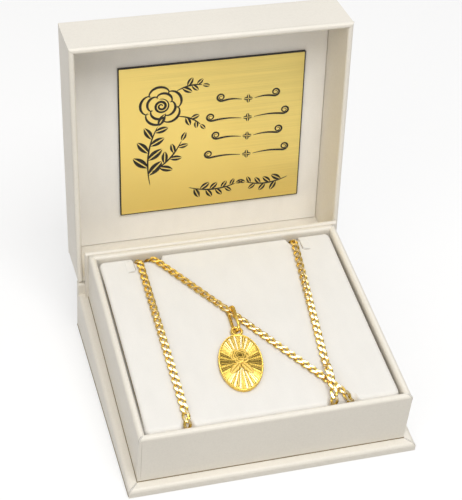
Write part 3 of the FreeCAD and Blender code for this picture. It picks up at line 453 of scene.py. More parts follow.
class BoxColours(bpy.types.PropertyGroup):
    """Colours of the finishes."""

    leatherette: colour_property("Leatherette", "Wrapped boards", (0.795, 0.752, 0.668))
    pad: colour_property("Pad", "Suede of the pad", (0.825, 0.807, 0.768))
    lining: colour_property("Lining", "Suede of the lid's lining", (0.93, 0.905, 0.86))
    gold: colour_property("Gold", "Chain, bail and medal", (1.0, 0.69, 0.15))
    plaque: colour_property("Plaque", "Brushed foil of the plaque", (1.0, 0.78, 0.25))
    ink: colour_property("Engraving", "Black of the plaque's engraving and core", (0.014, 0.012, 0.01))
    # Seam: colour of the painted shade in the seams and beside the pad
    seam: colour_property("Seam", "Shade in seams and beside the pad", (0.24, 0.18, 0.09))
    fold: colour_property("Fold shade", "Soft shade beside a fold", (0.58, 0.53, 0.44))
    # Crease highlight: pale colour along each fold, a painted highlight
    crease_highlight: colour_property("Crease", "Folded edge of the wrapping", (0.9, 0.87, 0.81))


class BoxSizes(bpy.types.PropertyGroup):
    """Sizes of what the finishes add."""

    crease_width: length_property("Crease width", "Width of a folded corner of the wrapping", 0.3)
    # Seam radius: half the width of the painted seam shadows at the tray's foot and under the plinth's edge
    seam_radius: length_property("Seam radius", "Half the shaded line of a glued edge", 0.22)
    pad_crown: length_property("Pad crown", "Rise of the pad's middle over its rolled edge", 0.2)
    pad_pull: length_property("Pad pull", "Pull of the pad's sides between its corners", 0.15)
    tab_lift: length_property("Tab lift", "Rise of a slit tab's free corner", 0.45)
    ray_depth: length_property("Ray depth", "Depth of the medal's widest ray", 0.2)
    engraving_height: length_property("Engraving height", "Thickness of the plaque's engraved lines", 0.04)


class BoxStep:
    """What the operators share."""

    bl_options = {"REGISTER", "UNDO"}

    @property
    def colours(self):
        return bpy.context.scene.box_colours

    @property
    def sizes(self):
        return bpy.context.scene.box_sizes


def dress(nodes, material):
    """Give CAD nodes a material."""
    for node in nodes:
        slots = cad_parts[node].data.materials
        slots.clear()
        slots.append(material)


WRAPPED_BOARDS = (
    "base_shell", "tray_front_wall", "tray_back_wall", "tray_left_wall", "tray_right_wall", "hinge_board",
    "lid_panel", "lid_front_wall", "lid_left_wall", "lid_right_wall", "lid_back_wall",
)
LINING_SHEEN = 0.15
# Nodes and their plain finish: name, colour, roughness, grains to a millimetre, depth of relief, and metal
PLAIN_FINISHES = (
    (("bottom_felt",), "felt", (0.62, 0.57, 0.48), 0.9, 1.6, 0.2, 0.0),
    (("bottom_board", "pad_riser"), "card", (0.56, 0.49, 0.39), 0.8, 0.8, 0.05, 0.0),
    (("hinge_leaves", "hinge_pin"), "plain steel", (0.58, 0.58, 0.57), 0.35, 3.0, 0.01, 1.0),
    (("plaque_tape",), "adhesive strip", (0.8, 0.8, 0.77), 0.7, 1.5, 0.03, 0.0),
)


class WrapBoards(BoxStep, bpy.types.Operator):
    """Give the wrapped boards, the linings and the hidden cards and metal their finishes"""

    bl_idname = "box.wrap_boards"
    bl_label = "Wrap Boards"

    def execute(self, context):
        dress(WRAPPED_BOARDS, leatherette("cream leatherette", self.colours.leatherette))
        dress(["lid_lining"], suede("beige suede", self.colours.lining, LINING_SHEEN))
        for nodes, *finish in PLAIN_FINISHES:
            dress(nodes, plain_finish(*finish))
        return {"FINISHED"}


# Tray and plinth outlines in the tray frame
TRAY_HALF = 42.85
TRAY_FRONT = -40.55
TRAY_BACK = 39.35
TRAY_TOP = 19.9
TRAY_WALL = 2.2
RIM_RADIUS = 1.0
PLINTH_HALF = 46.0
PLINTH_FRONT = -43.75
PLINTH_RADIUS = 1.2
LID_HALF = 46.0
LID_WALL = 1.8
LID_RIM_RADIUS = 0.8
# Folds: how far they go down a wall past its rim and round the plinth's edge, their steps, height and shade
RIM_DROP = 1.0
LID_RIM_DROP = 0.8
RIM_BEND_STEPS = 9
LEDGE_TURN = 1.3
LEDGE_STEPS = 5
LEDGE_BEND_STEPS = 7
CREASE_PROUD = 0.025
CREASE_HEIGHT = 0.03
CREASE_EASE = 8.0
FOLD_SHADE_WIDER = 1.6
# Edges of the wrapping, drawn as thin lines of painted shade: a line's width and steps, and its distance
# from the corners and rims
EDGE_LINE = 0.13
EDGE_STEPS = 12
FRONT_EDGE_IN = 1.0
FRONT_EDGE_LOW = 0.8
LID_EDGE_IN = 1.5


def rounded_rim(wall, radius, drop):
    """A rim's section from outside to inside: how far across the wall, and how far below the top.

    A plumb stretch of the given drop, a quarter circle, the flat, a quarter circle and a plumb stretch.
    """
    turn = np.linspace(0.0, math.pi / 2.0, RIM_BEND_STEPS)
    bend_in = radius * (1.0 - np.cos(turn))
    bend_down = radius * (1.0 - np.sin(turn))
    across = np.concatenate([[0.0], bend_in, wall - bend_in[::-1], [wall]])
    below = np.concatenate([[radius + drop], bend_down, bend_down[::-1], [radius + drop]])
    return across, below


def crease_rows(path, side, width, proud):
    """A thin lens along a fold: narrow at its ends, with its height square to the path and the side."""
    up = unit(np.cross(unit(np.gradient(path, axis=0)), side))
    half_widths = width / 2.0 * tapered(len(path), CREASE_EASE)
    return lens_rows(path + up * proud, side, up, half_widths, CREASE_HEIGHT)


def ledge_fold(x_sign):
    """A fold on the ledge: straight from the tray's front corner, then an arc over the plinth's edge."""
    turn = np.linspace(0.0, LEDGE_TURN, LEDGE_BEND_STEPS)
    reach = PLINTH_RADIUS * (1.0 - np.sin(turn))
    fall = PLINTH_RADIUS * (1.0 - np.cos(turn))
    bend = points_at(x_sign * (PLINTH_HALF - reach), PLINTH_FRONT + reach, -fall)
    begin = np.array([x_sign * TRAY_HALF, TRAY_FRONT, 0.0])
    share = np.linspace(0.0, 1.0, LEDGE_STEPS, endpoint=False)[:, None]
    return np.concatenate([begin + (bend[0] - begin) * share, bend])


class FoldCorners(BoxStep, bpy.types.Operator):
    """Lay the folded edges of the wrapping over the mitred corners of the tray, the plinth and the lid: pale
    lenses of painted highlight with wider lenses of painted shade under them, and thin lines of painted
    shade at the wrapping's edges
    """

    bl_idname = "box.fold_corners"
    bl_label = "Fold Corners"

    def execute(self, context):
        base = []
        across, below = rounded_rim(TRAY_WALL, RIM_RADIUS, RIM_DROP)
        for x_sign in BOTH_SIDES:
            for y_sign, corner_y in zip(BOTH_SIDES, (TRAY_FRONT, TRAY_BACK)):
                path = points_at(x_sign * (TRAY_HALF - across), corner_y - y_sign * across, TRAY_TOP - below)
                base.append((path, np.array([y_sign, -x_sign, 0.0]) / math.sqrt(2.0)))
            base.append((ledge_fold(x_sign), np.array([1.0, x_sign, 0.0]) / math.sqrt(2.0)))
        lid = []
        low, high = in_mm(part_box("lid_front_wall"))
        across, below = rounded_rim(LID_WALL, LID_RIM_RADIUS, LID_RIM_DROP)
        for x_sign in BOTH_SIDES:
            path = points_at(x_sign * (LID_HALF - across), low[1] + below, high[2] - across)
            lid.append((path, np.array([1.0, 0.0, x_sign]) / math.sqrt(2.0)))

        # Lines of painted shade at the wrapping's edge down the tray's front, and beside the lid's rim
        share = np.linspace(0.0, 1.0, EDGE_STEPS)
        level = FRONT_EDGE_LOW + (TRAY_TOP - RIM_RADIUS - FRONT_EDGE_LOW) * share
        base_lines = [(points_at(FRONT_EDGE_IN - TRAY_HALF, TRAY_FRONT, level), np.array([-1.0, 0.0, 0.0]))]
        rim_line = low[1] + LID_EDGE_IN
        inner = LID_HALF - LID_RIM_RADIUS
        lid_lines = [(points_at(inner * (2.0 * share - 1.0), rim_line, high[2]), np.array([0.0, 1.0, 0.0]))]
        side_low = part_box("lid_left_wall")[0][2] / MM + LID_RIM_RADIUS
        level = side_low + (high[2] - LID_RIM_RADIUS - side_low) * share
        for x_sign in BOTH_SIDES:
            lid_lines.append((points_at(x_sign * LID_HALF, rim_line, level), np.array([0.0, -x_sign, 0.0])))

        width = self.sizes.crease_width / MM
        # Each fold gets a raised pale lens of painted highlight over a wider lens of painted shade
        light = leatherette("painted fold highlight", self.colours.crease_highlight)
        shade = plain_finish("fold shade", self.colours.fold, roughness=0.7, grain=1.2, depth=0.03)
        folds_and_lines = (("base", base, base_lines, from_tray), ("lid", lid, lid_lines, np.asarray))
        for body, folds, lines, to_room in folds_and_lines:
            bright = Shell()
            dark = Shell()
            for path, side in folds:
                bright.add_spindle(to_room(crease_rows(path, side, width, CREASE_PROUD)))
                dark.add_spindle(to_room(crease_rows(path, side, width * FOLD_SHADE_WIDER, 0.0)))
            for path, side in lines:
                dark.add_spindle(to_room(crease_rows(path, side, EDGE_LINE, 0.0)))
            bright.piece("folded_corners_" + body, body, "leatherette", light)
            dark.piece("fold_shades_" + body, body, "leatherette", shade)
        return {"FINISHED"}


# Painted seam shadows: sides of the tube, and its half width, half height and lift as shares of the seam's
# radius
SEAM_SIDES = 8
SEAM_WIDE = 0.75
SEAM_TALL = 0.5
SEAM_LIFT = 0.55


class ShadeFoot(BoxStep, bpy.types.Operator):
    """Run dark tubes of painted shade round the tray's foot and under the plinth's edge"""

    bl_idname = "box.shade_foot"
    bl_label = "Shade Foot"

    def execute(self, context):
        radius = self.sizes.seam_radius / MM
        outward = np.array([[-1.0, -1.0], [1.0, -1.0], [1.0, 1.0], [-1.0, 1.0]])
        turn = turns(SEAM_SIDES)
        wide = radius * SEAM_WIDE * np.cos(turn)
        felt_top = in_mm(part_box("bottom_felt"))[1][2]
        # A flat tube round each rectangle: its half width, front and back edges, and its level
        rings = (
            ((TRAY_HALF, TRAY_FRONT, TRAY_BACK, radius * SEAM_LIFT), from_tray),
            ((PLINTH_HALF, -BOX_DEPTH / 2.0, BOX_DEPTH / 2.0, felt_top), np.asarray),
        )
        seam = Shell()
        for (half, front, back, level), to_room in rings:
            corners = np.array([[-half, front], [half, front], [half, back], [-half, back]])
            rows = np.empty((4, SEAM_SIDES, 3))
            rows[:, :, :2] = corners[:, None, :] + outward[:, None, :] * wide[None, :, None]
            rows[:, :, 2] = level + radius * SEAM_TALL * np.sin(turn)
            seam.add_ring(to_room(rows))
        material = plain_finish("seam shade", self.colours.seam, roughness=0.9, grain=1.2, depth=0.05)
        # Painted shade: dark tubes where the tray meets the ledge and under the plinth's edge
        made = seam.piece("painted_seam_shadows", "base", "leatherette", material)
        made.data.shade_flat()
        return {"FINISHED"}


# Pad in the tray frame
PAD_HALF_X = 40.25
PAD_HALF_Y = 37.25
PAD_MIDDLE = -0.5
PAD_TOP = 19.0
PAD_FOOT = 12.4
PAD_GIRTH = 17.0
PAD_CORNER = 2.2
PAD_ROLL = 1.7
PAD_FOOT_ROLL = 2.0
PAD_CROWN_REACH = 12.0
PAD_PULL_REACH = 5.0
PAD_STEPS = (170, 160)
PAD_PLAIN_SHARE = 0.45
PAD_SHEEN = 0.35
# Waves of the cover near its edge: height, radians to a millimetre across and along, sway and reach
WAVE_HEIGHT = 0.05
WAVE_ACROSS = 0.31
WAVE_ALONG = 0.13
WAVE_SWAY = 1.3
WAVE_REACH = 6.0
# Pressed stretches of the edges: back (1) or front (-1), place of the arc's middle, and from where to where
NOTCHES = (
    (1.0, 31.63, -28.2, -19.4),
    (1.0, 31.63, 25.2, 28.2),
    (-1.0, -32.83, -28.3, -25.8),
    (-1.0, -32.83, 17.5, 25.9),
)
NOTCH_LEVEL = 15.2
NOTCH_RADIUS = 3.8
NOTCH_EASE = 1.1
# Shade in the gaps beside the pad: its level, depth inside the outline, half length, width, lean and steps
GAP_LEVEL = 17.95
GAP_IN = 0.22
GAP_REACH = 35.2
GAP_WIDTH = 0.38
GAP_LEAN = math.radians(31.0)
GAP_STEPS = 24

# Bail in the tray frame, the wire loop that stands for it here, and the groove that its low wire presses
BAIL_TURN = math.radians(2.0)
BAIL_WAY = np.array([math.sin(BAIL_TURN), math.cos(BAIL_TURN), 0.0])
BAIL_SIDE = np.array([math.cos(BAIL_TURN), -math.sin(BAIL_TURN), 0.0])
BAIL_RISE = 2.6
BAIL_HALF = 5.9
LOOP_SHORTER = 0.8
LOOP_SPAN = 1.4
LOOP_WIRE = 0.52
LOOP_FLAT = 0.85
LOOP_STEPS = 64
LOOP_SIDES = 14
GROOVE_DEPTH = 0.95
GROOVE_HALF = 0.8
GROOVE_EASE = 1.6


def bail_middle():
    """Middle of the bail's corners in the tray frame."""
    return to_tray(node_points("pendant_bail")[0]).mean(axis=0)


def pad_depth_in(x, y):
    """How far inside the pad's outline, a rectangle with rounded corners, a point lies."""
    over_x = np.abs(x) - (PAD_HALF_X - PAD_CORNER)
    over_y = np.abs(y) - (PAD_HALF_Y - PAD_CORNER)
    outside = np.hypot(np.maximum(over_x, 0.0), np.maximum(over_y, 0.0))
    return np.maximum(PAD_CORNER - outside - np.minimum(np.maximum(over_x, over_y), 0.0), 0.0)


def rolled(depth_in, roll):
    """Quarter ellipse over the roll: 0 at the outline, 1 from the roll's width inwards."""
    share = np.clip(1.0 - depth_in / roll, 0.0, 1.0)
    return np.sqrt(1.0 - share * share)


def pad_surface(x, y, crown):
    """The pad's top over its plan: the girth, the rolled edge, a low crown and faint waves near the edge."""
    inside = pad_depth_in(x, y)
    edge = PAD_TOP - crown
    waves = np.sin(x * WAVE_ACROSS + WAVE_SWAY * np.sin(y * WAVE_ALONG))
    ripple = WAVE_HEIGHT * waves * np.exp(-inside / WAVE_REACH)
    return (PAD_GIRTH + (edge - PAD_GIRTH) * rolled(inside, PAD_ROLL)
            + crown * smooth(inside / PAD_CROWN_REACH) + ripple * smooth(inside / PAD_ROLL))


def crowded(count):
    """Shares from -1 to 1 that crowd towards the ends: part plain steps, part the sine of a quarter turn."""
    share = np.linspace(-1.0, 1.0, count)
    return PAD_PLAIN_SHARE * share + (1.0 - PAD_PLAIN_SHARE) * np.sin(share * math.pi / 2.0)


def pad_plan():
    """The pad's grid in plan: square rings, carried out to the rectangle and rounded at the corners."""
    across, along = np.meshgrid(*(crowded(count) for count in PAD_STEPS), indexing="ij")
    ring = np.maximum(np.maximum(np.abs(across), np.abs(along)), TINY)
    edge_x = PAD_HALF_X * across / ring
    edge_y = PAD_HALF_Y * along / ring
    core_x = np.clip(edge_x, PAD_CORNER - PAD_HALF_X, PAD_HALF_X - PAD_CORNER)
    core_y = np.clip(edge_y, PAD_CORNER - PAD_HALF_Y, PAD_HALF_Y - PAD_CORNER)
    reach = np.maximum(np.hypot(edge_x - core_x, edge_y - core_y), TINY)
    x = ring * (core_x + PAD_CORNER * (edge_x - core_x) / reach)
    y = ring * (core_y + PAD_CORNER * (edge_y - core_y) / reach)
    return x, y


def pulled_in(x, y, pull):
    """The pad's plan in its place, each side pulled in: most at its middle, less with the depth inside."""
    near_edge = np.exp(-pad_depth_in(x, y) / PAD_PULL_REACH)
    beside = np.abs(x) > np.abs(y)
    pulled_x = x - np.sign(x) * pull * (1.0 - (y / PAD_HALF_Y) ** 2) * near_edge * beside
    pulled_y = y - np.sign(y) * pull * (1.0 - (x / PAD_HALF_X) ** 2) * near_edge * ~beside
    return pulled_x, pulled_y + PAD_MIDDLE


def bail_groove(x, y):
    """Depth of the groove under the bail's low wire: a fourth-power bell across it, eased at its ends."""
    low_wire = bail_middle() - BAIL_SIDE * (LOOP_SPAN / 2.0)
    off_x = x - low_wire[0]
    off_y = y - low_wire[1]
    beside = off_x * BAIL_SIDE[0] + off_y * BAIL_SIDE[1]
    ahead = off_x * BAIL_WAY[0] + off_y * BAIL_WAY[1]
    ends = smooth((BAIL_HALF + GROOVE_EASE - np.abs(ahead)) / GROOVE_EASE)
    dent = np.exp(-(beside / GROOVE_HALF) ** 4) * ends
    return GROOVE_DEPTH * dent


def pressed(x, y, level):
    """The edges pressed round under the runs: no point stands outside an arc about a notch's middle."""
    above = np.clip(level - NOTCH_LEVEL, 0.0, NOTCH_RADIUS)
    arc = np.sqrt(NOTCH_RADIUS ** 2 - above ** 2)
    for edge, middle, low, high in NOTCHES:
        press = smooth((x - low) / NOTCH_EASE + 1.0) * smooth((high - x) / NOTCH_EASE + 1.0)
        y = y - edge * press * np.maximum(edge * (y - middle) - arc, 0.0)
    return y


class StuffPad(BoxStep, bpy.types.Operator):
    """Make the foam pad with its suede cover, rolled edges and drawn-in foot, and the shade beside it"""

    bl_idname = "box.stuff_pad"
    bl_label = "Stuff Pad"

    def execute(self, context):
        crown = self.sizes.pad_crown / MM
        pull = self.sizes.pad_pull / MM
        plan_x, plan_y = pad_plan()
        x, y = pulled_in(plan_x, plan_y, pull)
        top = pad_surface(plan_x, plan_y, crown) - bail_groove(x, y)
        inside = pad_depth_in(plan_x, plan_y)
        foot = PAD_GIRTH - (PAD_GIRTH - PAD_FOOT) * rolled(inside, PAD_FOOT_ROLL)
        # The underside has its own points, apart from the rim, which it shares with the top
        rim = np.zeros(PAD_STEPS, dtype=bool)
        rim[[0, -1], :] = True
        rim[:, [0, -1]] = True
        under = np.arange(rim.size).reshape(PAD_STEPS)
        under[~rim] = rim.size + np.arange(np.count_nonzero(~rim))
        upper = points_at(x, pressed(x, y, top), top).reshape(-1, 3)
        lower = points_at(x, pressed(x, y, foot), foot)[~rim]
        quads = grid_quads(*PAD_STEPS)
        pad = Shell()
        pad.add(from_tray(np.concatenate([upper, lower])), quads, under.reshape(-1)[quads][:, ::-1])
        made = pad.piece("suede_pad", "base", "suede", suede("cream suede", self.colours.pad, PAD_SHEEN))
        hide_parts("pad_cushion")

        # Shade in the gap at each side: a thin lens that follows the pull, against the roll
        shades = Shell()
        along = np.linspace(-GAP_REACH, GAP_REACH, GAP_STEPS)
        beside = PAD_HALF_X - GAP_IN - pull * (1.0 - (along / PAD_HALF_Y) ** 2)
        for x_sign in BOTH_SIDES:
            path = points_at(x_sign * beside, along + PAD_MIDDLE, GAP_LEVEL)
            side = np.array([-x_sign * math.sin(GAP_LEAN), 0.0, math.cos(GAP_LEAN)])
            shades.add_spindle(from_tray(crease_rows(path, side, GAP_WIDTH, 0.0)))
        shades.piece("gap_shades", "base", "suede", bpy.data.materials["seam shade"])
        return {"FINISHED"}


# Slits and tabs at the pad's back edge, in the pad's plan; each slit is a line of painted shade
SLIT_BACK = 35.55
SLIT_LENGTH = 5.5
SLIT_EDGES = (-28.78, 28.83)
SLIT_WIDTH = 0.24
SLIT_HEIGHT = 0.03
SLIT_PROUD = 0.01
SLIT_EASE = 6.0
SLIT_SHADE_COLOUR = (0.56, 0.5, 0.42)
TAB_WIDTH = 2.8
TAB_THICKNESS = 0.3
TAB_STEPS = 14
TAB_SIDES = 24
# Powers of the shares across and along in a tab's lift, and of the sine in its square-edged section
TAB_LIFT_ACROSS = 1.5
TAB_LIFT_ALONG = 2.0
TAB_SQUARE = 0.3


def tab_rows(edge, outward, crown, lift):
    """A sheet on the pad's top, lifted with the product of the shares across and along it."""
    turn = turns(TAB_SIDES)[None, :]
    ahead = np.linspace(0.0, 1.0, TAB_STEPS)[:, None]
    plan_x = edge + outward * (SLIT_WIDTH / 2.0 + TAB_WIDTH * (0.5 - 0.5 * np.cos(turn)))
    plan_y = SLIT_BACK - SLIT_LENGTH * ahead
    free = (0.5 + 0.5 * np.cos(turn)) ** TAB_LIFT_ACROSS * ahead ** TAB_LIFT_ALONG
    level = pad_surface(plan_x, plan_y, crown) + lift * free
    level = level + TAB_THICKNESS / 2.0 * np.sign(np.sin(turn)) * np.abs(np.sin(turn)) ** TAB_SQUARE
    return points_at(plan_x, plan_y + PAD_MIDDLE, level)


class CutTabs(BoxStep, bpy.types.Operator):
    """Cut the two slit tabs that hold the chain at the pad's back edge"""

    bl_idname = "box.cut_tabs"
    bl_label = "Cut Tabs"

    def execute(self, context):
        crown = self.sizes.pad_crown / MM
        lift = self.sizes.tab_lift / MM
        front = SLIT_BACK - SLIT_LENGTH - SLIT_WIDTH / 2.0
        half_widths = SLIT_WIDTH / 2.0 * tapered(TAB_STEPS, SLIT_EASE)
        tabs = Shell()
        slits = Shell()
        for edge in SLIT_EDGES:
            outward = math.copysign(1.0, edge)
            tabs.add_spindle(from_tray(tab_rows(edge, outward, crown, lift)))
            # Slit: a line of painted shade beside the tab and one before it, each with its way across
            back_to_front = np.linspace(SLIT_BACK, front, TAB_STEPS)
            in_to_out = np.linspace(edge, edge + outward * TAB_WIDTH, TAB_STEPS)
            for x, y, side in ((edge, back_to_front, (1.0, 0.0, 0.0)), (in_to_out, front, (0.0, 1.0, 0.0))):
                path = points_at(x, y + PAD_MIDDLE, pad_surface(x, y, crown) + SLIT_PROUD)
                rows = lens_rows(path, np.array(side), np.array([0.0, 0.0, 1.0]), half_widths, SLIT_HEIGHT)
                slits.add_spindle(from_tray(rows))
        tabs.piece("slit_tabs", "base", "suede", bpy.data.materials["cream suede"])
        shade = plain_finish("slit shade", SLIT_SHADE_COLOUR, roughness=0.9, grain=2.0, depth=0.03)
        slits.piece("slit_shade_lines", "base", "suede", shade)
        return {"FINISHED"}


# Curb links
LINK_LONG_HALF = 1.8
LINK_WIDE_HALF = 0.86
LINK_WIRE_WIDE = 0.46
LINK_WIRE_TALL = 0.44
LINK_TWIST = math.radians(-52.0)
LINK_FLAT = 0.33
LINK_STEPS = 16
LINK_SIDES = 6
LINK_CUT = math.radians(18.0)
# Tone of a link: plain gold, turning to a painted highlight where its filed faces are cut deep
LINK_TONE = 0.52
LINK_HIGHLIGHT_FROM = 0.18
LINK_HIGHLIGHT_REACH = 0.25


def curb_link():
    """One link along its first axis: an oval, twisted with the cosine of the turn, with filed faces.

    At a turn t the wire's middle is at (a cos t, b sin t cos w, b sin t sin w) with w the twist times cos t;
    the wire is an oval across the path, and heights past the filed level are cut to it. The more is cut
    away, the paler is the tone: a painted highlight on the filed faces.
    """
    turn = turns(LINK_STEPS)
    twist = LINK_TWIST * np.cos(turn)
    reach = LINK_WIDE_HALF * np.sin(turn)
    middle = points_at(LINK_LONG_HALF * np.cos(turn), reach * np.cos(twist), reach * np.sin(twist))
    way = unit(np.roll(middle, -1, axis=0) - np.roll(middle, 1, axis=0))
    side = unit(np.cross(points_at(0.0, -np.sin(twist), np.cos(twist)), way))
    up = np.cross(way, side)
    rows = tube_rows(middle, side, up, LINK_WIRE_WIDE, LINK_WIRE_TALL, turns(LINK_SIDES, 0.5))
    # Painted highlight: the tone grows paler where more of the wire is filed away
    cut_away = np.abs(rows[:, :, 2]) - LINK_FLAT
    tones = LINK_TONE + (1.0 - LINK_TONE) * smooth((cut_away - LINK_HIGHLIGHT_FROM) / LINK_HIGHLIGHT_REACH)
    rows[:, :, 2] = np.clip(rows[:, :, 2], -LINK_FLAT, LINK_FLAT)
    return rows.reshape(-1, 3), tones.reshape(-1)


def link_frames(node):
    """Middle and axes of each link of a run.

    Corners of one link share the lowest corner number among them, found by handing it on over the triangles;
    a link's axes are those of its corners' spread, longest first.
    """
    points, triangles = node_points(node)
    label = np.arange(len(points))
    while True:
        lowest = label[triangles].min(axis=1)
        spread = label.copy()
        np.minimum.at(spread, triangles.reshape(-1), np.repeat(lowest, 3))
        if np.array_equal(spread, label):
            break
        label = spread
    links = len(np.unique(label))
    corners = points[np.argsort(label, kind="stable")].reshape(links, -1, 3)
    middles = corners.mean(axis=1)
    offsets = corners - middles[:, None, :]
    axes = np.linalg.eigh(np.einsum("lci,lcj->lij", offsets, offsets))[1]
    along = axes[:, :, 2]
    wide = axes[:, :, 1]
    return middles, np.stack([along, wide, np.cross(along, wide)], axis=1)


class LayChain(BoxStep, bpy.types.Operator):
    """Lay the filed curb links of the shown runs, and gild the runs and the clasp under the pad"""

    bl_idname = "box.lay_chain"
    bl_label = "Lay Chain"

    def execute(self, context):
        dress(["chain_hidden_runs", "clasp_ring"], polished_gold("polished gold", self.colours.gold))
        filed = struck_gold(self.colours.gold, *FILED_GOLD)
        link, tones = curb_link()
        quads = grid_quads(LINK_STEPS, LINK_SIDES, True, True)
        for run in ("left", "diagonal", "right"):
            node = "chain_%s_run" % run
            middles, axes = link_frames(node)
            placed = (middles[:, None, :] + link @ axes).reshape(-1, 3)
            starts = np.arange(len(middles)) * len(link)
            faces = (quads[None, :, :] + starts[:, None, None]).reshape(-1, 4)
            chain = Shell()
            chain.add(placed, faces, tones=np.tile(tones, len(middles)))
            made = chain.piece("curb_links_%s" % run, "base", "gold", filed)
            made.data.set_sharp_from_angle(angle=LINK_CUT)
            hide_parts(node)
        return {"FINISHED"}


class BendBail(BoxStep, bpy.types.Operator):
    """Bend the bail's wire loop over the chain"""

    bl_idname = "box.bend_bail"
    bl_label = "Bend Bail"

    def execute(self, context):
        middle = bail_middle() - BAIL_WAY * LOOP_SHORTER
        across = BAIL_SIDE * LOOP_SPAN + np.array([0.0, 0.0, BAIL_RISE])
        end_radius = np.linalg.norm(across) / 2.0
        across /= np.linalg.norm(across)
        normal = np.cross(BAIL_WAY, across)
        straight = BAIL_HALF - LOOP_SHORTER - end_radius
        # Two half circles about the ends of a straight stretch, with a flattened wire
        turn = turns(LOOP_STEPS, 0.5)[:, None]
        ahead = np.sign(np.cos(turn)) * straight + end_radius * np.cos(turn)
        path = middle + BAIL_WAY * ahead + across * end_radius * np.sin(turn)
        outward = BAIL_WAY * np.cos(turn) + across * np.sin(turn)
        rows = tube_rows(path, outward, normal, LOOP_WIRE * LOOP_FLAT, LOOP_WIRE, turns(LOOP_SIDES))
        bail = Shell()
        bail.add_ring(from_tray(rows))
        made = bail.piece("bail_loop", "base", "gold", bpy.data.materials["polished gold"])
        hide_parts("pendant_bail")
        return {"FINISHED"}


# Medal in its own frame: first axis across, second towards the eyelet, third off the face
MEDAL_WIDE = 7.0
MEDAL_LONG = 11.5
MEDAL_HALF = 0.5
MEDAL_RIM = 0.5
MEDAL_RIM_TOP = 0.65
MEDAL_FACE = 0.4
MEDAL_RELIEF_TOP = 0.95
MEDAL_STEPS = 480
MEDAL_RINGS = 64
MEDAL_BACK_RINGS = (0.0, 0.3, 0.6, 0.9)
MEDAL_FACE_REACH = 0.985
PENDANT_TURN = math.radians(9.5)
MEDAL_TILT = math.radians(0.6)
EYELET_RADIUS = 1.6
EYELET_WIRE = 0.45
EYELET_HOOK = 1.3
EYELET_STEPS = 56
EYELET_SIDES = 16
# Rim's section from the back to the face: inset from the outline, and level
RIM_SECTION = (
    (0.16, -MEDAL_HALF),
    (0.05, -MEDAL_HALF + 0.05),
    (0.0, -MEDAL_HALF + 0.16),
    (0.0, MEDAL_RIM_TOP - 0.2),
    (0.04, MEDAL_RIM_TOP - 0.07),
    (0.14, MEDAL_RIM_TOP),
    (MEDAL_RIM - 0.16, MEDAL_RIM_TOP),
    (MEDAL_RIM - 0.05, MEDAL_RIM_TOP - 0.06),
    (MEDAL_RIM, MEDAL_FACE - 0.12),
)
# Rays of a quarter, from the side to the top, by their widths in degrees
RAY_WIDTHS = (8, 6, 8, 3, 3, 3, 3, 3, 3, 3, 3, 3, 3, 9, 6, 11, 6, 6)
FINE_RAY = 0.5
DARK_TURN = math.radians(14.0)
PALE_TURN = math.radians(58.0)
RIPPLE_STEP = 0.52
RIPPLE_DEPTH = 0.018
# Painted light of the rays: tones at the sides, their rise, and the step of each second ray where it is pale
# or dark
SIDE_TONE = 0.1
TONE_RISE = 0.74
PALE_PART = 0.6
PALE_STEP = 0.34
DARK_PART = 0.2
DARK_STEP = 0.24
# Painted highlight along each ray's ridge, and a fine hatch of the tone on the fine rays
RIDGE_TONE = 0.15
HATCH_LINES = 120.0
HATCH_TONE = 0.14
# Rose: petals, radius, lip's height and first turn of each whorl, and its other shares
BLOOM_UP = 2.4
BLOOM_RADIUS = 3.2
BLOOM_STEPS = 120
BLOOM_RINGS = 40
BLOOM_LAST_RING = 0.98
BLOOM_BACK_STEP = 8
BLOOM_SUNK = 0.04
WHORLS = ((6, 1.0, 0.5, 0.2), (5, 0.76, 0.7, 0.9), (4, 0.52, 0.86, 0.3), (3, 0.3, 1.0, 1.1))
WHORL_HIDDEN = 0.66
PETAL_ROUND = 0.5
PETAL_DIP = 0.26
CUP_DEPTH = 0.3
# Painted shade where a whorl lies hidden, and the painted highlight that rises to its lip
HIDDEN_TONE = 0.04
PETAL_TONE = 0.62
# Leaves: place, outline, dome, sunk rib and side veins
LEAF_TURN = math.radians(38.0)
LEAF_ROOT = 0.8
LEAF_HALF_LENGTH = 2.88
LEAF_HALF_WIDTH = 1.3
LEAF_STEPS = 34
LEAF_SIDES = 48
LEAF_ROUND = 0.8
LEAF_DOME = 0.5
LEAF_SUNK = 0.06
LEAF_LOWER = 0.08
RIB_DEPTH = 0.3
RIB_HALF = 0.14
VEIN_DEPTH = 0.12
VEIN_WAVES = 26.0
VEIN_SLANT = 0.25
# Painted light on a leaf: paler towards the dome's top, darker in the rib, and following the veins
LEAF_TONE = 0.66
LEAF_TONE_DOME = 0.7
RIB_TONE = 1.6


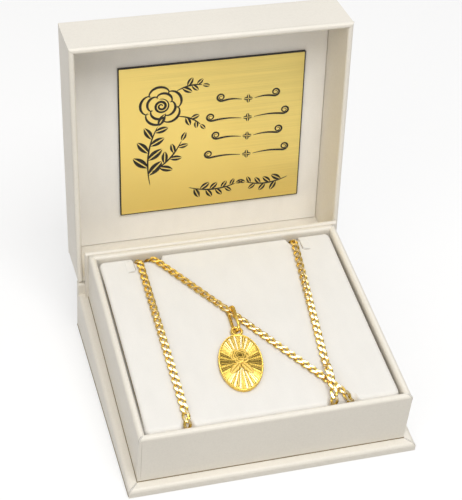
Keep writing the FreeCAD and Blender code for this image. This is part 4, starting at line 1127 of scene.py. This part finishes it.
def ray_heights(turn, share, radius, depth):
    """Heights and tones of the sunburst: each ray is a ridge, as deep as it is wide; fine rays have ripples.

    The turn is folded into one quarter, the ray that holds it is looked up among the edges, and the height
    falls in a straight line from the ray's middle to its edges, and with the share of the way out. The tone
    is painted shade towards the sides and a painted highlight towards the top and bottom, and steps at each
    second ray.
    """
    widths = np.radians(np.array(RAY_WIDTHS, dtype=float) * 90.0 / sum(RAY_WIDTHS))
    edges = np.concatenate([[0.0], np.cumsum(widths)])
    folded = np.abs(np.arcsin(np.clip(np.sin(turn), -1.0, 1.0)))
    ray = np.clip(np.searchsorted(edges, folded, side="right") - 1, 0, len(widths) - 1)
    inside = (folded - edges[ray]) / widths[ray]
    ridge = 1.0 - np.abs(2.0 * inside - 1.0)
    wide = widths[ray] / widths.max()
    fine = wide < FINE_RAY
    ripple = RIPPLE_DEPTH * np.sin(FULL_TURN * radius / RIPPLE_STEP) * fine
    height = depth * wide * ridge * share + ripple * share
    # Painted light: dark towards the sides, pale towards the top and bottom
    up = smooth((folded - DARK_TURN) / (PALE_TURN - DARK_TURN))
    second = ray % 2
    tone = SIDE_TONE + TONE_RISE * up
    tone = tone - PALE_STEP * second * (up > PALE_PART) + DARK_STEP * second * (up < DARK_PART)
    hatch = HATCH_TONE * np.sin(HATCH_LINES * turn) * fine
    return height, np.clip(tone + RIDGE_TONE * (ridge - 0.5) + hatch, 0.0, 1.0)


def disc_rows(depth):
    """The medal's disc from the middle of its back, round the rim, to the middle of its face.

    Rows are ovals: those of the rim are offset from the outline, those inside it are scaled.
    """
    turn = turns(MEDAL_STEPS)
    cosine = np.cos(turn)
    sine = np.sin(turn)
    face_wide = MEDAL_WIDE - MEDAL_RIM
    face_long = MEDAL_LONG - MEDAL_RIM
    rows = []
    tones = []
    for share in MEDAL_BACK_RINGS:
        rows.append(points_at(share * MEDAL_WIDE * cosine, share * MEDAL_LONG * sine, -MEDAL_HALF))
    for inset, level in RIM_SECTION:
        rows.append(points_at((MEDAL_WIDE - inset) * cosine, (MEDAL_LONG - inset) * sine, level))
    for share in np.linspace(MEDAL_FACE_REACH, 0.0, MEDAL_RINGS):
        x = share * face_wide * cosine
        y = share * face_long * sine
        height, tone = ray_heights(turn, share, np.hypot(x, y), depth)
        rows.append(points_at(x, y, MEDAL_FACE + height))
        tones.append(tone)
    edge = np.full((len(rows) - len(tones), MEDAL_STEPS), PLAIN_TONE)
    return np.stack(rows), np.concatenate([edge, np.stack(tones)])


def bloom_rows():
    """A rose from above: four whorls, each a cup whose lip stands over the next one out.

    A whorl's edge is its radius times a wave of its petals; inside it the height falls from the lip to the
    middle, and the tone is painted shade where the next whorl hides it and rises to a painted highlight at
    the lip.
    """
    shares = np.concatenate([np.linspace(0.0, BLOOM_LAST_RING, BLOOM_RINGS), [1.0]])
    share, turn = np.meshgrid(shares, turns(BLOOM_STEPS), indexing="ij")
    height = np.zeros_like(share)
    tone = np.zeros_like(share)
    for petals, radius, lip, phase in WHORLS:
        wave = np.abs(np.cos(petals * (turn - phase) / 2.0)) ** PETAL_ROUND
        edge = radius * (1.0 - PETAL_DIP + PETAL_DIP * wave)
        cup = lip - CUP_DEPTH * (1.0 - share / edge)
        height = np.where(share < edge, cup, height)
        # Painted shade where the next whorl hides this one, paler towards its lip
        shown = smooth((share / edge - WHORL_HIDDEN) / (1.0 - WHORL_HIDDEN))
        tone = np.where(share < edge, HIDDEN_TONE + PETAL_TONE * shown, tone)
    reach = BLOOM_RADIUS * share
    base = MEDAL_FACE - BLOOM_SUNK
    level = base + (MEDAL_RELIEF_TOP - base) * np.maximum(height, 0.0)
    face = points_at(reach * np.cos(turn), BLOOM_UP + reach * np.sin(turn), level)
    back = face[::-BLOOM_BACK_STEP].copy()
    back[:, :, 2] = 0.0
    return np.concatenate([face, back]), np.concatenate([tone, np.zeros(back.shape[:2])])


def leaf_rows(side):
    """A leaf below the bloom: a lens in plan, domed, with a sunk middle rib and side veins; its tone is a
    painted highlight on the dome and painted shade in the rib.
    """
    ahead, turn = np.meshgrid(np.linspace(0.0, 1.0, LEAF_STEPS), turns(LEAF_SIDES), indexing="ij")
    swell = np.sin(math.pi * ahead)
    half = LEAF_HALF_WIDTH * swell ** LEAF_ROUND
    across = np.cos(turn)
    up = np.maximum(np.sin(turn), 0.0)
    rib = RIB_DEPTH * np.exp(-(across / RIB_HALF) ** 2)
    veins = VEIN_DEPTH * np.sin(VEIN_WAVES * (ahead - VEIN_SLANT * np.abs(across))) * np.abs(across)
    base = MEDAL_FACE - LEAF_SUNK
    rise = (MEDAL_RELIEF_TOP - LEAF_LOWER - base) * np.sqrt(swell)
    on_top = np.sin(turn) > 0.0
    level = np.where(on_top, base + rise * up ** LEAF_DOME * (1.0 - rib + veins), 0.0)
    x = half * across
    y = -2.0 * LEAF_HALF_LENGTH * ahead
    cosine = math.cos(side * LEAF_TURN)
    sine = math.sin(side * LEAF_TURN)
    root = BLOOM_UP - BLOOM_RADIUS * LEAF_ROOT
    rows = points_at(x * cosine - y * sine, root + x * sine + y * cosine, level)
    # Painted light: paler on the dome, painted shade in the rib, following the veins
    return rows, np.where(on_top, LEAF_TONE * up ** LEAF_TONE_DOME - RIB_TONE * rib + veins, 0.0)


class StrikeMedal(BoxStep, bpy.types.Operator):
    """Strike the oval medal: rim, cut sunburst, a rose with two leaves, and the eyelet"""

    bl_idname = "box.strike_medal"
    bl_label = "Strike Medal"

    def execute(self, context):
        # The medal hangs by its eyelet from the bail, turned in the pad's plane and leaning a little
        way = np.array([math.sin(PENDANT_TURN), math.cos(PENDANT_TURN), 0.0])
        eyelet_place = bail_middle() - BAIL_WAY * (BAIL_HALF - EYELET_HOOK) - way * EYELET_RADIUS
        cosine, sine = math.cos(PENDANT_TURN), math.sin(PENDANT_TURN)
        swing = np.array([[cosine, -sine, 0.0], [sine, cosine, 0.0], [0.0, 0.0, 1.0]])
        cosine, sine = math.cos(MEDAL_TILT), math.sin(MEDAL_TILT)
        lean = np.array([[1.0, 0.0, 0.0], [0.0, cosine, sine], [0.0, -sine, cosine]])
        axes = lean @ swing
        eyelet_middle = np.array([0.0, MEDAL_LONG + EYELET_RADIUS, 0.0])
        place = eyelet_place - eyelet_middle @ axes

        def on_pad(rows):
            return from_tray((rows.reshape(-1, 3) @ axes + place).reshape(rows.shape))

        turn = turns(EYELET_STEPS)[:, None]
        round_it = turns(EYELET_SIDES)[None, :]
        reach = EYELET_RADIUS + EYELET_WIRE * np.cos(round_it)
        eyelet = points_at(
            reach * np.cos(turn), eyelet_middle[1] + reach * np.sin(turn), EYELET_WIRE * np.sin(round_it))
        medal = Shell()
        rows, tones = disc_rows(self.sizes.ray_depth / MM)
        medal.add_spindle(on_pad(rows), tones)
        medal.add_ring(on_pad(eyelet))
        made = medal.piece("oval_medal", "base", "gold", struck_gold(self.colours.gold, *CUT_GOLD))
        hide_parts("pendant_medal")
        relief = Shell()
        for rows, tones in (bloom_rows(), leaf_rows(-1.0), leaf_rows(1.0)):
            relief.add_spindle(on_pad(rows), tones)
        relief.piece("medal_rose", "base", "gold", struck_gold(self.colours.gold, *MATT_GOLD))
        return {"FINISHED"}


class Engraving:
    """Strokes on the plaque's face, in millimetres from its middle to the right and up."""

    # Stems and leaves: half widths, a leaf's rib and the shares of its halves, and how leaves shrink
    STEM = 0.3
    STEM_STEPS = 26
    STEM_ENDS = 0.03
    LEAF_STEPS = 15
    LEAF_ROUND = 0.9
    RIB = 0.1
    POINT = 0.005
    HALF_OFF = 0.55
    HALF_WIDE = 0.45
    SHRINK = 0.35
    TIP_LEAF = 0.7
    LEAF_SPREAD = 0.85
    BARE_STEM = 1.5
    # Rose: turns of its heart, shares of its radius, line, and rows of petals with their first turns
    HEART_TURNS = 4.6 * math.pi
    HEART_FROM = 0.05
    HEART_REACH = 0.34
    HEART_ENDS = 0.4
    PETAL_LINE = 0.045
    PETAL_POINT = 0.02
    PETAL_OVERLAP = 0.06
    PETAL_STEPS = 22
    PETAL_ROUND = 0.45
    PETAL_ROWS = ((4, 0.42, 0.68, 0.4), (5, 0.66, 1.0, 1.1))
    SPIRAL_STEPS = 60
    # Ruled ornament: where its lines start, end and wind up, their swing and width, and its diamond
    RULE_FROM = 2.2
    RULE_END = 0.62
    WIND_FROM = 0.55
    WIND_TURNS = 3.4 * math.pi
    WIND_IN = 0.8
    RULE_SWING = 0.5
    RULE_LINE = 0.3
    RULE_ROUND = 1.5
    RULE_POINT = 0.08
    DIAMOND = (1.6, 0.5)

    def __init__(self, height):
        low, high = in_mm(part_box("plaque_face"))
        self.middle = (low + high) / 2.0
        self.face = low[1]
        self.height = height
        self.shell = Shell()

    def stroke(self, path, half_widths):
        """A lens carried along a path in the plaque's plane; its ends are points."""
        way = np.gradient(path, axis=0)
        way /= np.maximum(np.linalg.norm(way, axis=1), TINY)[:, None]
        side = points_at(way[:, 1], 0.0, -way[:, 0])
        room = points_at(self.middle[0] + path[:, 0], self.face, self.middle[2] + path[:, 1])
        self.shell.add_spindle(lens_rows(room, side, np.array([0.0, -1.0, 0.0]), half_widths, self.height))

    def curve(self, points, half_width):
        """A stroke along a Bezier curve, thickest in its middle."""
        share = np.linspace(0.0, 1.0, self.STEM_STEPS)[:, None]
        start, bend, end = (np.array(point, dtype=float) for point in points)
        path = start * (1.0 - share) ** 2 + bend * 2.0 * share * (1.0 - share) + end * share ** 2
        swell = np.linspace(self.STEM_ENDS, 1.0 - self.STEM_ENDS, self.STEM_STEPS)
        self.stroke(path, half_width * np.sin(math.pi * swell) ** 0.5)
        return path

    def leaf(self, root, angle, length, half_width):
        """Two half lenses with a bright rib between them: each runs from root to tip beside the rib."""
        share = np.linspace(0.0, 1.0, self.LEAF_STEPS)
        swell = np.sin(math.pi * share) ** self.LEAF_ROUND
        way = np.array([math.cos(angle), math.sin(angle)])
        across = np.array([-way[1], way[0]])
        for side in BOTH_SIDES:
            off = side * (self.RIB + self.HALF_OFF * half_width * swell)
            path = np.array(root) + way * (length * share)[:, None] + across * off[:, None]
            self.stroke(path, half_width * self.HALF_WIDE * swell + self.POINT)

    def sprig(self, points, count, length, half_width):
        """A curved stem with leaves on either side in turn and one at its tip."""
        path = self.curve(points, self.STEM)
        for number in range(count):
            at = int((number + self.BARE_STEM) / (count + self.BARE_STEM) * (len(path) - 1))
            heading = math.atan2(*(path[min(at + 1, len(path) - 1)] - path[at - 1])[::-1])
            turn = self.LEAF_SPREAD if number % 2 else -self.LEAF_SPREAD
            size = length * (1.0 - self.SHRINK * number / count)
            self.leaf(path[at], heading + turn, size, half_width * size / length)
        heading = math.atan2(*(path[-1] - path[-2])[::-1])
        self.leaf(path[-1], heading, length * self.TIP_LEAF, half_width * self.TIP_LEAF)

    def rose(self, middle, radius):
        """A rose in lines: a spiral heart, and rows of petals, each a raised half wave about the middle."""
        share = np.linspace(0.0, 1.0, self.SPIRAL_STEPS)
        turn = self.HEART_TURNS * share
        reach = radius * (self.HEART_FROM + self.HEART_REACH * share)
        path = np.stack([middle[0] + reach * np.cos(turn), middle[1] + reach * np.sin(turn)], axis=1)
        self.stroke(path, radius * self.PETAL_LINE * (self.HEART_ENDS + np.sin(math.pi * share)))
        share = np.linspace(0.0, 1.0, self.PETAL_STEPS)
        wave = np.sin(math.pi * share)
        for petals, low, high, phase in self.PETAL_ROWS:
            for number in range(petals):
                ahead = number + share * (1.0 + 2.0 * self.PETAL_OVERLAP) - self.PETAL_OVERLAP
                turn = phase + FULL_TURN * ahead / petals
                reach = radius * (low + (high - low) * wave ** self.PETAL_ROUND)
                path = np.stack([middle[0] + reach * np.cos(turn), middle[1] + reach * np.sin(turn)], axis=1)
                self.stroke(path, radius * (self.PETAL_POINT + self.PETAL_LINE * wave))

    def flourish(self, middle, half_length, curl):
        """A ruled ornament: a diamond between two mirrored scrolls, lines that wind up in a spiral."""
        share = np.linspace(0.0, 1.0, self.SPIRAL_STEPS)
        line = smooth(share / self.RULE_END)
        wind = np.clip((share - self.WIND_FROM) / (1.0 - self.WIND_FROM), 0.0, 1.0)
        turn = -math.pi / 2.0 + self.WIND_TURNS * wind
        reach = curl * (1.0 - self.WIND_IN * wind)
        x = self.RULE_FROM + (half_length - self.RULE_FROM) * line + reach * np.cos(turn) * (wind > 0.0)
        y = self.RULE_SWING * np.sin(math.pi * line) + (curl + reach * np.sin(turn)) * (wind > 0.0)
        half_widths = self.RULE_POINT + self.RULE_LINE * np.sin(math.pi * share) ** self.RULE_ROUND
        for side in BOTH_SIDES:
            self.stroke(np.stack([middle[0] + side * x, middle[1] + y], axis=1), half_widths)
        for angle in (0.0, math.pi / 2.0, math.pi, -math.pi / 2.0):
            self.leaf(middle, angle, *self.DIAMOND)


# Layout from the plaque's middle; a sprig has root, bend and tip, leaves, and their length and half width
ROSE_PLACE = (-17.5, 13.0)
ROSE_RADIUS = 7.2
ROSE_SPRAY = (
    (((-21.5, -17.5), (-24.0, -4.0), (-18.6, 5.6)), 7, 7.0, 1.5),
    (((-21.0, -12.0), (-14.0, -9.0), (-10.5, -1.0)), 5, 5.0, 1.1),
    (((-12.0, 8.5), (-7.0, 8.0), (-4.0, 4.5)), 3, 3.6, 0.9),
    (((-12.5, 18.0), (-8.0, 20.5), (-3.5, 19.5)), 4, 3.8, 0.9),
)
RULE_PLACE = (12.5, 12.5)
RULE_STEP = 7.2
RULE_CURL = 1.5
RULE_HALVES = (9.5, 13.0, 11.0, 13.5)
FOOT_SPRIGS = (
    (((-8.0, -20.0), (1.0, -23.5), (9.0, -20.5)), 8, 4.2, 0.95),
    (((28.0, -20.0), (20.0, -23.5), (12.5, -20.5)), 7, 4.2, 0.95),
)


class EngravePlaque(BoxStep, bpy.types.Operator):
    """Brush the plaque's foil and lay its black engraving: a rose spray, ruled ornaments and two sprigs"""

    bl_idname = "box.engrave_plaque"
    bl_label = "Engrave Plaque"

    def execute(self, context):
        dress(["plaque_face"], brushed_gold("brushed gold", self.colours.plaque))
        ink = plain_finish("black laminate", self.colours.ink, roughness=0.42, grain=2.0, depth=0.02)
        dress(["plaque_core"], ink)
        lines = Engraving(self.sizes.engraving_height / MM)
        lines.rose(ROSE_PLACE, ROSE_RADIUS)
        for sprig in ROSE_SPRAY:
            lines.sprig(*sprig)
        for number, half_length in enumerate(RULE_HALVES):
            lines.flourish((RULE_PLACE[0], RULE_PLACE[1] - RULE_STEP * number), half_length, RULE_CURL)
        for sprig in FOOT_SPRIGS:
            lines.sprig(*sprig)
        lines.shell.piece("plaque_engraving", "lid", "black_laminate", ink)
        return {"FINISHED"}


# Camera of the photograph, in the room frame
CAMERA_PLACE = (-104.858, -348.117, 304.154)
CAMERA_RIGHT = (0.964925, -0.261145, 0.02689)
CAMERA_DOWN = (-0.127447, -0.555521, -0.821677)
CAMERA_AHEAD = (0.229515, 0.78943, -0.569318)
PICTURE_WIDTH = 462.0
FOCAL_PIXELS = 1416.0
SENSOR = 36.0
SHIFT_PIXELS = 4.0
# Floor in metres, and its glow where the picture sees it
FLOOR_HALF = 3.0
FLOOR_LEVEL = -0.0002
FLOOR_STEPS = 5
FLOOR_COLOUR = (0.5, 0.5, 0.5)
FLOOR_GLOW = 0.5
PAPER_GRAINS = 0.4
WHITE = (1.0, 1.0, 1.0)
# Sky by the height of the way to it, and the lamps: what they face, then place, size, power and colour
SKY_STOPS = ((0.0, (0.5, 0.5, 0.5, 1.0)), (0.45, (0.6, 0.6, 0.6, 1.0)), (1.0, (1.0, 1.0, 1.0, 1.0)))
SKY_STRENGTH = 0.75
LAMP_AIM = (0.0, 0.0, 0.04)
KEY_LIGHT = ((0.04, -0.54, 0.9), 0.5, 5.5, WHITE)
FILL_LIGHT = ((-0.75, -0.65, 0.55), 0.7, 2.4, (1.0, 0.92, 0.8))
GLOSS_LIGHT = ((0.22, 0.58, 0.84), 0.5, 3.6, WHITE)


def stand(name, data, axes, place):
    """Put a lamp or the camera in the scene, by its right, up and backward axes and its place in metres."""
    made = bpy.data.objects.new(name, data)
    turn = Matrix(axes).transposed().to_4x4()
    turn.translation = place
    made.matrix_world = turn
    bpy.context.scene.collection.objects.link(made)
    return made


def area_lamp(name, place, size, power, colour):
    """A square soft light that faces the box."""
    lamp = bpy.data.lights.new(name, "AREA")
    lamp.shape = "SQUARE"
    lamp.size = size
    lamp.energy = power
    lamp.color = colour
    way = np.array(LAMP_AIM) - np.array(place)
    way /= np.linalg.norm(way)
    right = np.cross(way, (0.0, 0.0, 1.0))
    right /= np.linalg.norm(right)
    return stand(name, lamp, (right, np.cross(right, way), -way), place)


def white_floor():
    """Pale paper, lifted to white where the picture or a reflection sees it lit."""
    finish = Finish("white floor", {"Base Color": opaque(FLOOR_COLOUR), "Roughness": 0.9})
    finish.feed("Specular IOR Level", 0.1)
    finish.bump(finish.noise(finish.place(), PAPER_GRAINS * PER_MM), depth=0.02, strength=0.2)
    path = finish.tree.nodes.new("ShaderNodeLightPath").outputs
    seen = Value(finish, path["Is Camera Ray"]) + Value(finish, path["Is Glossy Ray"])
    seen = seen + Value(finish, path["Is Transmission Ray"])
    glow = finish.node("ShaderNodeEmission", None, {"Color": opaque(WHITE), "Strength": seen * FLOOR_GLOW})
    both = finish.node("ShaderNodeAddShader", None, {0: Value(finish, finish.shader.outputs[0]), 1: glow})
    finish.put(finish.tree.nodes["Material Output"].inputs["Surface"], both)
    return finish.material


class SetStage(BoxStep, bpy.types.Operator):
    """Set the white floor, the soft studio light and the camera"""

    bl_idname = "box.set_stage"
    bl_label = "Set Stage"

    def execute(self, context):
        scene = context.scene
        scene.view_settings.view_transform = "Standard"
        # Floor: a square sheet just under the box
        share = np.linspace(-FLOOR_HALF, FLOOR_HALF, FLOOR_STEPS)
        points = points_at(share[:, None], share[None, :], FLOOR_LEVEL).reshape(-1, 3)
        mesh = bpy.data.meshes.new("studio_floor")
        mesh.from_pydata(points.tolist(), [], grid_quads(FLOOR_STEPS, FLOOR_STEPS)[:, ::-1].tolist())
        floor = bpy.data.objects.new("studio_floor", mesh)
        scene.collection.objects.link(floor)
        mesh.materials.append(white_floor())

        # Sky: bright overhead, dimmer towards the horizon
        world = bpy.data.worlds.new("studio")
        world.use_nodes = True
        scene.world = world
        sky = Nodes(world.node_tree)
        way = sky.node("ShaderNodeTexCoord", output="Generated")
        height = sky.node("ShaderNodeSeparateXYZ", None, {0: way}, output="Z")
        back = world.node_tree.nodes["Background"]
        sky.put(back.inputs["Color"], sky.node("ShaderNodeValToRGB", {"stops": SKY_STOPS}, {"Fac": height}))
        sky.put(back.inputs["Strength"], SKY_STRENGTH)

        area_lamp("key light", *KEY_LIGHT)
        area_lamp("fill light", *FILL_LIGHT)
        area_lamp("gloss light", *GLOSS_LIGHT).visible_diffuse = False

        camera = bpy.data.cameras.new("camera")
        camera.sensor_fit = "HORIZONTAL"
        camera.sensor_width = SENSOR
        camera.lens = FOCAL_PIXELS * SENSOR / PICTURE_WIDTH
        camera.shift_y = SHIFT_PIXELS / PICTURE_WIDTH
        camera.clip_start = 0.01
        up = [-value for value in CAMERA_DOWN]
        behind = [-value for value in CAMERA_AHEAD]
        place = [value * MM for value in CAMERA_PLACE]
        scene.camera = stand("camera", camera, (CAMERA_RIGHT, up, behind), place)
        return {"FINISHED"}


STEPS = (
    WrapBoards, FoldCorners, ShadeFoot, StuffPad, CutTabs,
    LayChain, BendBail, StrikeMedal, EngravePlaque, SetStage,
)


class BoxPanel(bpy.types.Panel):
    """Steps, colours and sizes of the box"""

    bl_idname = "VIEW3D_PT_box_looks"
    bl_label = "Presentation Box"
    bl_space_type = "VIEW_3D"
    bl_region_type = "UI"
    bl_category = "Box"

    def draw(self, context):
        for step in STEPS:
            self.layout.operator(step.bl_idname)
        for group in (context.scene.box_colours, context.scene.box_sizes):
            column = self.layout.column()
            for name in group.__annotations__:
                column.prop(group, name)


CLASSES = (BoxColours, BoxSizes) + STEPS + (BoxPanel,)


def register():
    for part in CLASSES:
        bpy.utils.register_class(part)
    bpy.types.Scene.box_colours = PointerProperty(type=BoxColours)
    bpy.types.Scene.box_sizes = PointerProperty(type=BoxSizes)


def unregister():
    del bpy.types.Scene.box_sizes
    del bpy.types.Scene.box_colours
    for part in reversed(CLASSES):
        bpy.utils.unregister_class(part)


def main():
    register()
    for step in STEPS:
        group, name = step.bl_idname.split(".")
        getattr(getattr(bpy.ops, group), name)()


if __name__ == "__main__":
    main()
